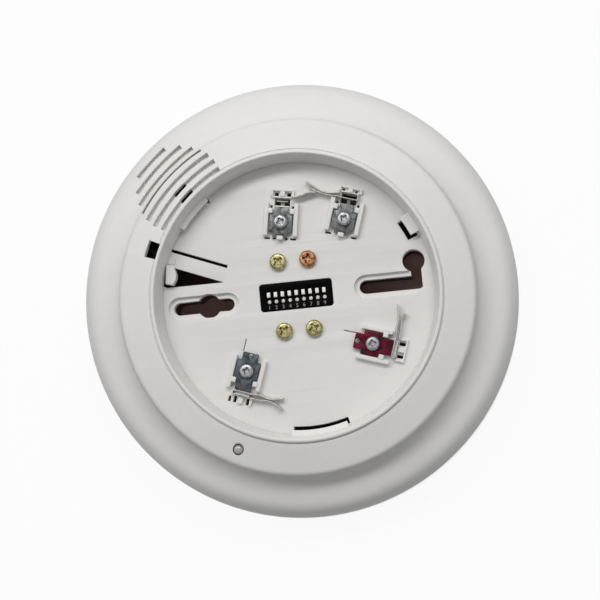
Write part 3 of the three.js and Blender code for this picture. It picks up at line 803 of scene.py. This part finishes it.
comb = {
    1: {"post": (9.5, 11.4), "cheeks": (-3.9, 3.9), "bridge": (8.95, 9.5), "bar": (11.4, 12),
        "holes": [(9.6, 11, -3, -1.5), (9.6, 11, 1.5, 3)]},
    2: {"post": (10, 11.5), "cheeks": (-3.9, 3.9), "bridge": (9.95, 10.2), "bar": (11.4, 12),
        "holes": [(10.25, 11.15, 2.15, 3.05), (10.25, 11.15, -2.55, -1.65)]},
    3: {"post": (9.2, 11.8), "cheeks": (-3.9, 3.9), "bridge": (9.08, 9.3), "bar": (11.75, 12.3),
        "holes": [(9.35, 11.6, 1.6, 2.8), (9.35, 11.6, -3, -1.9)]},
    4: {"post": (9.4, 12.1), "cheeks": (3.9,), "bridge": (9.1, 9.5), "bar": None,
        "holes": [(9.6, 12, 2.1, 3.2), (9.6, 12, -2.6, -1.5), (10, 12, -4.5, -3.6)]},
}
legSlot = {1: (5.7, 8.9, 2.8), 2: (5.7, 9.4, 2.9), 3: (8.78, 9.05, 2.9), 4: (8.78, 9.05, 2.9)}


def inDeck(points):
    return placed(points, layout)


def atTerminal(obj, number):
    return moved(obj, terminalPlaces[number], facing[number])


def armPoint(along, across):
    ahead = polar(1, arm["angle"])
    return arm["root"] + ahead * along + Vector((ahead.y, -ahead.x)) * across


def leftSlotOutline():
    s = deck["leftSlot"]
    x, y, radius = s["bulge"]
    half = s["width"] / 2
    reach = math.sqrt(radius ** 2 - half ** 2)
    lean = math.degrees(math.atan2(half, reach))
    span = 180 - 2 * lean
    line = slotOutline(s["from"], s["to"], s["y"], s["width"])
    top = arc((x, y), radius, lean, span, 14)
    low = arc((x, y), radius, 180 + lean, span, 14)
    return line[:13] + top + line[13:] + low


def rightSlotOutline():
    s = deck["rightSlot"]
    x, y, radius = s["hole"]
    low, high = s["y"] - s["width"] / 2, s["y"] + s["width"] / 2
    left = s["from"] + s["width"] / 2
    leftEnd = arc((left, s["y"]), s["width"] / 2, 90, 180, 12)
    first = math.degrees(math.atan2(-math.sqrt(radius ** 2 - (s["to"] - x) ** 2), s["to"] - x))
    last = 180 + math.degrees(math.asin(math.sqrt(radius ** 2 - (x - s["neck"]) ** 2) / radius))
    hole = arc((x, y), radius, first, last - first, 30)
    corner = arc((s["to"] - 0.8, low + 0.8), 0.8, -90, 90, 6)
    return leftEnd + corner + hole + [Vector((s["neck"], high))]


def terminalHoles(number):
    # the screw's hole, the fork's leg, the comb's gaps and the small marks round a clamp
    def slits(across, half):
        return [rectangle(-6.25, -5.55, side * across - half, side * across + half, 0.2) for side in (-1, 1)]

    near, far, half = legSlot[number]
    holes = [circle((0, 0), 2, 24), rectangle(near, far, -half, half, 0.1)]
    holes += [rectangle(*sides, 0.2) for sides in comb[number]["holes"]]
    if number in scribed:
        holes.append(rectangle(-11.4, -6.9, scribed[number] - 0.15, scribed[number] + 0.15, 0.1))
    else:
        holes += slits(4.75, 1.05) + [circle((5.75, side * 3.9), 0.5, 16) for side in (-1, 1)]
    if number == 1:
        holes += slits(2.15, 0.65)
    return [placed(hole, terminalPlaces[number], facing[number]) for hole in holes]


def terminalFrame(number):
    # rails at both sides of the clamp, snap hooks, the stop behind a short clamp and the comb in front
    s, sizes = rails, comb[number]
    low, half = deckTop - s["sunk"], s["half"]
    parts = []

    def block(name, outline, top, *edge):
        parts.append(plate(name, [outline], low, top, *edge))

    for side in (-1, 1):
        end = s["openTo"] if number not in shortClamp and side == hand[number] else s["to"]
        across = side * s["across"]
        block("rail", rectangle(s["from"], end, across - half, across + half, 0.5), s["top"], 0.45, 4)
        start, end, *sides = s["hook"]
        block("hook", rectangle(start, end, *sorted(side * v for v in sides), 0.3), s["hookTop"], 0.3)
    if number in shortClamp:
        block("stop", rectangle(*s["stop"]), s["top"], 0.25)
    near, far = sizes["post"]
    wide = s["combHalf"]
    block("post", rectangle(near, far, -0.9, 0.9), s["combTop"], 0.2)
    block("bridge", rectangle(*sizes["bridge"], -wide, wide, 0.1), s["bridgeTop"], 0.08)
    for across in sizes["cheeks"]:
        block("cheek", rectangle(near, far, across - 0.45, across + 0.45, 0.15), s["combTop"], 0.15)
    if sizes["bar"]:
        block("bar", rectangle(*sizes["bar"], -s["barHalf"], s["barHalf"], 0.2), s["barTop"], 0.15)
    return [atTerminal(part, number) for part in parts]


def armOpening():
    # the slit beside the arm, the gap at its end and the triangular window, as one outline
    half, slit, end = arm["width"] / 2, arm["slit"], arm["length"] + 1
    return [
        armPoint(0, half + slit), armPoint(end, half + slit), armPoint(end, half + 0.3),
        armPoint(31.2, -half - 6.2), (-46.9, arm["windowEdge"]), (armPoint(0, -half).x, arm["windowEdge"]),
        armPoint(0, -half),
    ]


def stadium(sizes, margin):
    far = sizes.get("recessTo", sizes["to"])
    return inDeck(slotOutline(sizes["from"], far, sizes["y"], sizes["width"], margin))


def terminalDeck():
    low, top = deck["bottom"], deck["top"]
    halfX, halfY = deck["window"][0] / 2, deck["window"][1] / 2
    outlines = [
        circle((0, 0), deck["radius"], 160),
        inDeck(rectangle(-halfX, halfX, -halfY, halfY, 1.2)),
        inDeck(leftSlotOutline()),
        inDeck(rightSlotOutline()),
        [polar(radius, angle) for radius, angle in ledges["peep"]],
    ]
    outlines += [arcBand(*slit) for slit in ledges["slits"]]
    outlines += [circle(place, deck["screwHole"], 24) for place in boardScrewPlaces]
    for number in facing:
        outlines += terminalHoles(number)
    body = plate("deckPlate", outlines, low, top, 0.2, 3)
    wide, narrow = deck["recess"], deck["recess"] - deck["recessSlope"]
    levels = [top - deck["recessDepth"], top, top + 1]
    cutters = [
        loft("recess", [stadium(deck[slot], margin) for margin in (narrow, wide, wide)], levels)
        for slot in ("leftSlot", "rightSlot")
    ]
    cutters.append(plate("opening", [inDeck(armOpening())], low - 1, top + 1, 0))
    body = combined("DIFFERENCE", body, cutters)
    raised = [part for number in facing for part in terminalFrame(number)]
    raised += [
        collar("boss", place, deck["boss"], deck["screwHole"], deck["bossBottom"], low + 0.5, 0.15, (40, 24))
        for place in boardScrewPlaces
    ]
    body = combined("UNION", body, raised)
    return finished(body, deckWhite, "base", ["terminal_deck"])


def lockArm():
    # a strip cut flush with the deck at its root, with the tooth and a small pad at its far end
    half, end = arm["width"] / 2, arm["length"]
    low, top = deck["top"] - arm["thickness"], deck["top"]
    corners = [armPoint(-3, half), armPoint(end, half), armPoint(end, -half), armPoint(-3, -half)]
    strap = plate("lockArm", [inDeck(rounded(corners, 0.4))], low, top, 0.18)
    root = plate("root", [inDeck([armPoint(-6, 6), armPoint(0, 6), armPoint(0, -6), armPoint(-6, -6)])],
                 low - 1, top + 1, 0)
    strap = combined("DIFFERENCE", strap, [root])
    tooth = plate("tooth", [inDeck(rounded(arm["tooth"][::-1], 0.3))], low, arm["toothTop"], 0.35, 4)
    pad = plate("pad", [inDeck(rounded(arm["pad"][::-1], 0.3))], top - 1, arm["padTop"], 0.2)
    strap = combined("UNION", strap, [tooth, pad])
    ahead = polar(1, arm["angle"]).to_3d()
    start = Vector((*inDeck([armPoint(0, 0)])[0], top - 1)) * mm
    work = bmesh.new()
    work.from_mesh(strap.data)
    for step in range(arm["bendSteps"]):
        bmesh.ops.bisect_plane(work, geom=[*work.verts, *work.edges, *work.faces], dist=1e-7, plane_no=ahead,
                               plane_co=start + ahead * arm["bend"] * mm * (step + 1) / arm["bendSteps"])
    work.to_mesh(strap.data)
    work.free()
    strap.data.materials.clear()
    strap.data.materials.append(deckWhite)
    strap.data.shade_smooth()
    strap.data.set_sharp_from_angle(angle=math.radians(32))
    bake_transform(strap)
    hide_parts("lock_arm")


terminalDeck()
lockArm()

print("screws")
screws = {
    "board": {"head": 3.1, "height": 1.9, "shank": 1.6, "length": 10.4, "pitch": 1.0, "thread": 0.3,
              "reach": 2.6, "width": 1.4, "depth": 1.5, "dimple": 1.2},
    "terminal": {"head": 2.55, "height": 2.0, "shank": 1.6, "length": 7.7, "pitch": 0.8, "thread": 0.25,
                 "reach": 2.0, "width": 1.15, "depth": 1.4, "dimple": 1.1},
    "cover": {"head": 2.9, "height": 1.6, "shank": 1.4, "length": 11.0, "pitch": 1.0, "thread": 0.25,
              "reach": 2.4, "width": 1.2, "depth": 1.0, "dimple": 0.9},
}


def screwLine(head, height, shank, length, pitch, dimple):
    # half the section of a pan-head screw that stands on height 0, with a dimple where its cross meets
    turns = int((length - 1) / pitch * 6)
    line = [(0, -length), (shank * 0.5, -length), (shank, -length + 0.8)]
    line += [(shank, -length + 0.8 + (length - 1) * i / turns) for i in range(1, turns + 1)]
    line += [(shank, 0), (head - 0.12, 0), (head, 0.12), (head, height * 0.3)]
    line += ease((head, height * 0.45), (head * 0.97, height), (head * 0.66, height), 7)
    line += [(dimple, height), (dimple * 0.85, height - 0.2), (dimple * 0.55, height - 1)]
    return line + [(0, height - 1.15)]


def screwTree():
    # one turned screw with a thread and a cross recess, set at every point with a turn of its own
    graph, given = geometryTree("panScrews", {
        "Profile": "Object", "Segments": "Int", "Head height": "Float", "Shank": "Float", "Length": "Float",
        "Pitch": "Float", "Thread": "Float", "Reach": "Float", "Width": "Float", "Depth": "Float",
        "Turned over": "Float", "Seed": "Int", "Material": "Material",
    })
    line = graph.node("GeometryNodeObjectInfo", {}, {"Object": given["Profile"]}, "Geometry")
    blank = graph.node("GeometryNodeGroup", {"node_tree": lathe}, {
        "Geometry": line, "Segments": given["Segments"],
    })
    east, north, up = separate(graph, graph.node("GeometryNodeInputPosition"))
    helix = (up / given["Pitch"] - north.math("ARCTAN2", east) / turn).math("PINGPONG", 0.5) * 2
    threaded = (up + given["Length"]).between(0.0005, 0.001) * (0 - up).between(0.0004, 0.0008)
    shrink = 1 - given["Thread"] / given["Shank"] * helix * threaded
    screw = graph.moved(blank, east * shrink, north * shrink, up)
    bar = graph.node("GeometryNodeMeshCube", {}, {"Size": (1, 1, 1)})
    along, across, rise = separate(graph, graph.node("GeometryNodeInputPosition"))
    taper = 0.75 + rise * 0.5
    height = given["Head height"] + rise * 2 * given["Depth"]
    long, wide = along * 2 * given["Reach"] * taper, across * given["Width"] * taper
    for place in ((long, wide, height), (0 - wide, long, height)):
        screw = graph.cut(screw, graph.moved(bar, *place), "EXACT")
    sockets = {2: 0.0, 3: turn, 8: given["Seed"]}  # from, to and seed of a single number
    spin = graph.node("FunctionNodeRandomValue", {"data_type": "FLOAT"}, sockets, 1)
    copies = graph.node("GeometryNodeInstanceOnPoints", {}, {
        "Points": given["Geometry"], "Instance": screw,
        "Rotation": combine(graph, given["Turned over"], 0, spin),
    })
    return closeTree(graph, copies, given["Material"])


panScrews = screwTree()


def setScrews(name, kind, nodes, body, paint, seed, over=False):
    s = screws[kind]
    places = []
    for node in nodes:
        low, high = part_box(node)
        seat = low.z + s["height"] * mm if over else high.z - s["height"] * mm
        places.append(((low.x + high.x) / 2, (low.y + high.y) / 2, seat))
    mesh = bpy.data.meshes.new(name + "Points")
    mesh.from_pydata(places, [], [])
    line = screwLine(*(s[key] for key in ("head", "height", "shank", "length", "pitch", "dimple")))
    profile = lineCurve(name + "Line", line)
    alike = ("shank", "length", "pitch", "thread", "reach", "width", "depth")
    sizes = {key.capitalize(): s[key] * mm for key in alike}
    made = runTree(added(name + "Points", mesh), panScrews, {
        **sizes, "Profile": profile, "Segments": 48, "Head height": s["height"] * mm,
        "Turned over": math.pi if over else 0.0, "Seed": seed, "Material": paint,
    }, name)
    bpy.data.objects.remove(profile)
    return finished(made, None, body, nodes, 40)


setScrews("boardScrews", "board", ["board_screw_1", "board_screw_3", "board_screw_4"], "base", yellowZinc, 11)
setScrews("copperScrew", "board", ["board_screw_2"], "base", copperZinc, 4)
setScrews("coverScrews", "cover", [f"cover_screw_{i}" for i in (1, 2, 3)], "base", yellowZinc, 7, True)
for i in facing:
    setScrews(f"terminalScrew{i}", "terminal", [f"terminal_screw_{i}"], f"screw_{i}", brightSteel, 20 + i)

print("terminals")
clamp = {
    "short": [(-4.7, 1.5), (-5.6, 1.5), (-5.6, 2.7), (-4.1, 2.7), (-3.5, 4.25), (2.6, 4.25), (2.9, 2.65),
              (5.6, 2.5)],
    "long": [(-6.8, 2.9), (-3.9, 2.9), (-3.8, 4.35), (2.7, 4.35), (2.8, 2.95), (7.25, 2.95)],
    "hole": 2.0, "eye": (-5.7, 0.8), "paint": {1: clampGrey, 2: clampGrey, 3: clampRed, 4: clampBlue},
}
fork = {
    "bottom": 22.8, "sheet": 0.3, "dipBottom": 20.5,
    1: {"loop": (7.75, 9.2), "top": 26.6, "lean": 0.3, "tongue": 6.1,
        "leaf": [(3.5, 9.1), (5, 9.05), (7.5, 9.9), (9.8, 10.9), (12, 11)],
        "tail": [(4, 8.2), (6, 8.3), (8.5, 8.9), (10.5, 9.9), (12.2, 10)]},
    2: {"loop": (7.6, 9.6), "top": 25.6, "lean": -0.4, "tongue": 5.7,
        "leaf": [(3.5, 9.2), (8, 8.4), (11, 8.7), (13.5, 9.6), (16.6, 10.9)],
        "tail": [(4, 7.9), (8, 7.7), (11, 8), (13, 8.3), (15, 8.5)]},
    3: {"loop": (7.6, 8.8), "top": 25.6, "lean": 0.45, "tongue": 7.7,
        "leaf": [(3.5, 8.8), (8, 8.2), (11.5, 8), (13.6, 8.9)],
        "tail": [(4, 7.5), (7, 6.9), (10, 6.9), (12.5, 6.5), (16, 5.6)]},
    4: {"loop": (7.6, 8.9), "top": 25.6, "lean": 0.45, "tongue": 7.7,
        "leaf": [(3.5, 8.95), (7, 8.7), (9.8, 8.25), (12.5, 8.7), (16, 10.1)],
        "tail": [(4, 7.5), (7, 6.9), (9.8, 7.55), (12, 7.2), (15.2, 6.2)]},
}


def forkSide(name, points, number):
    # a strip of spring sheet on edge, its upper edge leaning across the fork
    sizes = fork[number]
    line = [(across, hand[number] * along) for along, across in points]
    made = plate(name, [strip(softened(line), fork["sheet"])], fork["bottom"], sizes["top"], 0.1)
    for vertex in made.data.vertices:
        rise = (vertex.co.z / mm - fork["bottom"]) / (sizes["top"] - fork["bottom"])
        run = min(1, max(0, (abs(vertex.co.y / mm) - 2) / 4))
        vertex.co.x += sizes["lean"] * mm * rise * run
    return made


def terminal(number):
    # its contact with the fork, the fork's springing leaf and the clamp plate
    low, dip = fork["bottom"], fork["dipBottom"]
    sizes = fork[number]
    near, far = sizes["loop"]
    end = sizes["tongue"]
    short = number in shortClamp
    hole = circle((0, 0), clamp["hole"], 36)
    parts = []

    def sheet(name, start, stop, half, bottom, top):
        parts.append(plate(name, [rectangle(start, stop, -half, half, 0.1)], bottom, top, 0.1))

    if short:  # the sheet dips through the deck between the tongue and the fork
        sheet("dip", end - 0.4, end, 0.7, dip, low + 0.4)
        sheet("web", end - 0.35, near + 0.1, 0.65, dip + 0.02, dip + 0.4)
        sheet("leg", near - 0.15, near + 0.15, 2.1, dip, low + 0.4)
    else:
        sheet("flange", near, far, 2.9, 23.6, 24)
    fold = [(3.1, far), (-2.8, far), (-3.2, far - 0.4), (-3.2, near + 0.4), (-2.8, near), (2.4, near)]
    parts.append(forkSide("channel", fold + sizes["tail"], number))
    tongue = plate("tongue", [rectangle(-4.4, end, -2.8, 2.8, 0.5), hole], low, low + 0.5, 0.12)
    contact = combined("UNION", tongue, parts)
    contact.name = f"contact{number}"
    finished(atTerminal(contact, number), springMetal, "base", [f"contact_{number}"])
    leaf = forkSide(f"leaf{number}", sizes["leaf"], number)
    finished(atTerminal(leaf, number), springMetal, f"leaf_{number}", [f"contact_leaf_{number}"])
    half = clamp["short" if short else "long"]
    edge = half + [(x, -y) for x, y in reversed(half)]
    outlines = [rounded(edge[::-1], 0.25), hole]
    if not short:
        outlines.append(circle((clamp["eye"][0], 0), clamp["eye"][1], 24))
    node = f"clamp_plate_{number}"
    pressed = plate(f"clampPlate{number}", outlines, *heights(node), 0.22, 3)
    finished(atTerminal(pressed, number), clamp["paint"][number], f"clamp_{number}", [node])


for i in facing:
    terminal(i)

print("address switch")
switch = {
    "size": (26.1, 9.6), "bottom": 16.3, "floor": 20.2, "top": 21.6, "count": 9, "pitch": 2.54,
    "slot": (1.85, -2.6, 2.3), "knob": (1.25, 1.9), "knobRange": (20.5, 22.0), "dot": (-1.4, 0.72),
    "digits": -3.65, "digitSize": 1.95,
}


def digit(text, x, y, size, height):
    data = bpy.data.curves.new("digit", "FONT")
    data.body = text
    data.size = size * mm
    data.align_x = "CENTER"
    data.align_y = "CENTER"
    data.extrude = 0.02 * mm
    made = plain(added("digitText", data), "digit")
    return moved(made, (x, y), 0, height)


def addressSwitch():
    s = switch
    halfX, halfY = s["size"][0] / 2, s["size"][1] / 2
    outline = rectangle(-halfX, halfX, -halfY, halfY, 0.9)
    columns = [(i - (s["count"] - 1) / 2) * s["pitch"] for i in range(s["count"])]
    width, near, far = s["slot"]
    slots = [rectangle(x - width / 2, x + width / 2, near, far, 0.25) for x in columns]
    body = plate("switchBody", [outline, *slots], s["floor"] - 0.4, s["top"], 0.08)
    lower = plate("lower", [outline], s["bottom"], s["floor"], 0.15)
    body = moved(combined("UNION", body, [lower]), layout)
    finished(body, switchBlack, "base", ["address_switch_body"])
    dotY, radius = s["dot"]
    low = s["floor"]
    dome = [(0, low - 0.1), (radius, low - 0.1), (radius, low), (radius * 0.8, low + 0.16), (0, low + 0.25)]
    dots = merged([turnedPiece("dot", dome, (layout.x + x, layout.y + dotY), 20) for x in columns])
    dots.name = "switchDots"
    finished(dots, dotPink, "base", [])
    digitY = layout.y + s["digits"]
    marks = merged([
        digit(str(i + 1), layout.x + x, digitY, s["digitSize"], s["top"]) for i, x in enumerate(columns)
    ])
    marks.name = "switchDigits"
    finished(marks, printGrey, "base", [])
    width, length = s["knob"]
    low, top = s["knobRange"]
    rings = []
    for inset in (0, 0, 0.1, 0.26):
        x, y = width / 2 - inset, length / 2 - inset
        rings.append(rectangle(-x, x, -y, y, 0.2))
    for i, place in enumerate(middles("switch_slider", s["count"]), 1):
        knob = moved(loft(f"knob{i}", rings, [low, top - 0.35, top - 0.1, top]), place)
        finished(knob, knobWhite, f"slider_{i}", [f"switch_slider_{i}"], 50)


addressSwitch()

print("cover and lamp")
cover = {
    "radius": 77.0, "thickness": 2.0, "skin": 1.0, "ribs": 36, "ribBand": (52.0, 63.5), "ribShare": 0.72,
    "gap": 0.5, "wall": 1.3, "sleeveTop": 19.7, "seat": 3.4, "hole": 1.7, "cup": (4.6, 4.0),
}


def slotHole(slot, margin):
    # a mounting slot grown by a margin
    points = leftSlotOutline() if slot == "leftSlot" else rightSlotOutline()
    grown = []
    for i, point in enumerate(points):
        along = (points[(i + 1) % len(points)] - points[i - 1]).normalized()
        grown.append(point + Vector((along.y, -along.x)) * margin)
    return inDeck(grown)


def ribTree():
    # flat bars in a ring, one at each turn of the circle
    graph, given = geometryTree("ringOfRibs", {
        "Count": "Int", "Inner": "Float", "Outer": "Float", "Width": "Float", "Low": "Float", "High": "Float",
        "Material": "Material",
    })
    bar = graph.node("GeometryNodeMeshCube", {}, {"Size": (1, 1, 1)})
    along, across, rise = separate(graph, graph.node("GeometryNodeInputPosition"))
    radius = (given["Inner"] + given["Outer"]) / 2 + along * (given["Outer"] - given["Inner"])
    height = (given["Low"] + given["High"]) / 2 + rise * (given["High"] - given["Low"])
    width = given["Width"] * (0.8 + (radius / given["Outer"]) * 0.2)
    bar = graph.moved(bar, radius, across * width, height)
    points = graph.node("GeometryNodePoints", {}, {"Count": given["Count"]})
    angle = graph.node("GeometryNodeInputIndex") / given["Count"] * turn
    ring = graph.node("GeometryNodeInstanceOnPoints", {}, {
        "Points": points, "Instance": bar, "Rotation": combine(graph, 0, 0, angle),
    })
    return closeTree(graph, ring, given["Material"])


def rearCover():
    s = cover
    places, thickness, sunk = coverScrews["places"], s["thickness"], s["thickness"] - 0.6
    slots = [slotHole(slot, s["gap"]) for slot in ("leftSlot", "rightSlot")]
    walls = [slotHole(slot, s["gap"] + s["wall"]) for slot in ("leftSlot", "rightSlot")]
    outer = circle((0, 0), s["radius"], 200)
    seats = [circle(place, s["seat"], 40) for place in places]
    body = plate("rearCover", [outer, *slots, *seats], 0, thickness, 0.3, 3)
    parts = [plate("sleeve", [wall, slot], sunk, s["sleeveTop"], 0.12) for wall, slot in zip(walls, slots)]
    wide, top = s["cup"]
    low = thickness + 0.3
    parts += [collar("cup", place, wide, s["seat"], sunk, top - 0.8, 0.12, (40, 40)) for place in places]
    parts += [collar("cupFloor", place, wide, s["hole"], low, top, 0.12, (40, 32)) for place in places]
    body = combined("UNION", body, parts)
    inner, far = s["ribBand"]
    source = added("ribSource", bpy.data.meshes.new("ribSource"))
    width = turn * inner / s["ribs"] * s["ribShare"]
    pockets = runTree(source, ribTree(), {
        "Count": s["ribs"], "Inner": inner * mm, "Outer": far * mm, "Width": width * mm,
        "Low": -1 * mm, "High": (thickness - s["skin"]) * mm, "Material": coverBrown,
    }, "pockets")
    body = combined("DIFFERENCE", body, [pockets])
    return finished(body, coverBrown, "base", ["rear_cover"])


def lightPipe():
    radius = lamp["lens"]
    low, high = heights("light_pipe")
    line = [(0, low), (radius, low), (radius, high - 0.75), (radius - 0.15, high - 0.5)]
    line += ease((radius - 0.3, high - 0.35), (radius - 0.7, high), (0, high), 8)
    finished(turnedPiece("lightPipe", line, lamp["place"]), clearLens, "base", ["light_pipe"])


duct = {"outer": 3.4, "inner": 2.6, "screen": 2.8, "screenDown": (1.3, 0.9)}


def soundDuct():
    # a short tube from the sounder to the port, closed by a screen just under its mouth; both take the
    # cover's near-black painted shade
    place = middle("sound_duct")
    low, high = heights("sound_duct")
    tube = collar("soundDuct", place, duct["outer"], duct["inner"], low, high, 0.2)
    under, over = duct["screenDown"]
    screen = plate("screen", [circle(place, duct["screen"])], high - under, high - over, 0.05)
    finished(combined("UNION", tube, [screen]), coverBrown, "base", ["sound_duct"])


rearCover()
lightPipe()
soundDuct()

print("camera and light")
camera = {
    "aim": (0.5 * mm, -0.9 * mm, 22.5 * mm), "distance": 0.7761, "back": (0.07501, -0.08314, 0.99371),
    "up": (0.1004, 0.99208, 0.07542), "lens": 128.05,
}


def makeCamera():
    data = bpy.data.cameras.new("camera")
    data.lens = camera["lens"]
    data.sensor_width = 36
    data.clip_start = 0.01
    data.clip_end = 20
    made = added("camera", data)
    back = Vector(camera["back"]).normalized()
    side = Vector(camera["up"]).cross(back).normalized()
    up = back.cross(side)
    made.matrix_world = Matrix.Translation(Vector(camera["aim"]) + back * camera["distance"]) @ Matrix(
        (side, up, back)).transposed().to_4x4()
    bpy.context.scene.camera = made


light = {
    "azimuth": 100, "elevation": 61, "distance": 1.2, "size": (1.3, 0.2), "power": 7.4,
    "sky": 0.41, "lean": 0.27, "towards": 96, "ground": 0.2,
}


def makeLight():
    # one long softbox, high behind the top edge, and a sky that is brighter on that side
    data = bpy.data.lights.new("softbox", "AREA")
    data.shape = "RECTANGLE"
    data.size, data.size_y = light["size"]
    data.energy = light["power"]
    made = added("softbox", data)
    elevation = math.radians(light["elevation"])
    direction = Vector((*polar(math.cos(elevation), light["azimuth"]), math.sin(elevation)))
    made.matrix_world = Matrix.Translation(direction * light["distance"]) @ direction.to_track_quat(
        "Z", "Y").to_matrix().to_4x4()
    world = bpy.data.worlds.new("studio")
    world.use_nodes = True
    world.node_tree.nodes.clear()
    graph = Graph(world.node_tree)
    east, north, up = separate(graph, graph.node("ShaderNodeTexCoord"))
    lean = polar(light["lean"], light["towards"])
    sky = (light["sky"] + east * lean.x + north * lean.y).math("MAXIMUM", 0.01)
    above = up.between(-0.08, 0.08)
    shine = sky * above + (1 - above) * light["ground"]
    back = graph.node("ShaderNodeBackground", {}, {"Color": (1, 1, 1, 1), "Strength": shine})
    graph.node("ShaderNodeOutputWorld", {}, {"Surface": back})
    bpy.context.scene.world = world


# under is a brownish painted shade for the floor beneath the base
ground = {
    "half": 3.0, "below": 0.0002, "edge": (0.077, 0.081), "under": (0.7, 0.46, 0.44, 1),
    "pale": (0.9, 0.9, 0.9, 1), "glow": 0.93,
}


def makeFloor():
    # pale and glowing round the base; beneath it, where only its openings show it, a brownish painted shade
    half = ground["half"]
    corners = [(-half, -half, 0), (half, -half, 0), (half, half, 0), (-half, half, 0)]
    floor = bpy.data.meshes.new("floor")
    floor.from_pydata(corners, [], [(0, 1, 2, 3)])
    obj = added("floor", floor)
    obj.location.z = -ground["below"]
    paint = bpy.data.materials.new("paleFloor")
    paint.use_nodes = True
    paint.node_tree.nodes.clear()
    graph = Graph(paint.node_tree)
    outside = fromAxis(graph)[0].between(*ground["edge"])
    # painted shade beneath the base, pale floor outside it
    tone = graph.mix(outside, ground["under"], ground["pale"])
    pale = graph.node("ShaderNodeBsdfDiffuse", {}, {"Color": tone})
    glow = graph.node("ShaderNodeEmission", {}, {"Color": (1, 1, 1, 1), "Strength": 1.0})
    both = graph.node("ShaderNodeMixShader", {}, {0: outside * ground["glow"], 1: pale, 2: glow})
    graph.node("ShaderNodeOutputMaterial", {}, {"Surface": both})
    floor.materials.append(paint)
    obj.visible_diffuse = False


makeCamera()
makeLight()
makeFloor()
view = bpy.context.scene.view_settings
view.view_transform = "Standard"
view.look = "None"
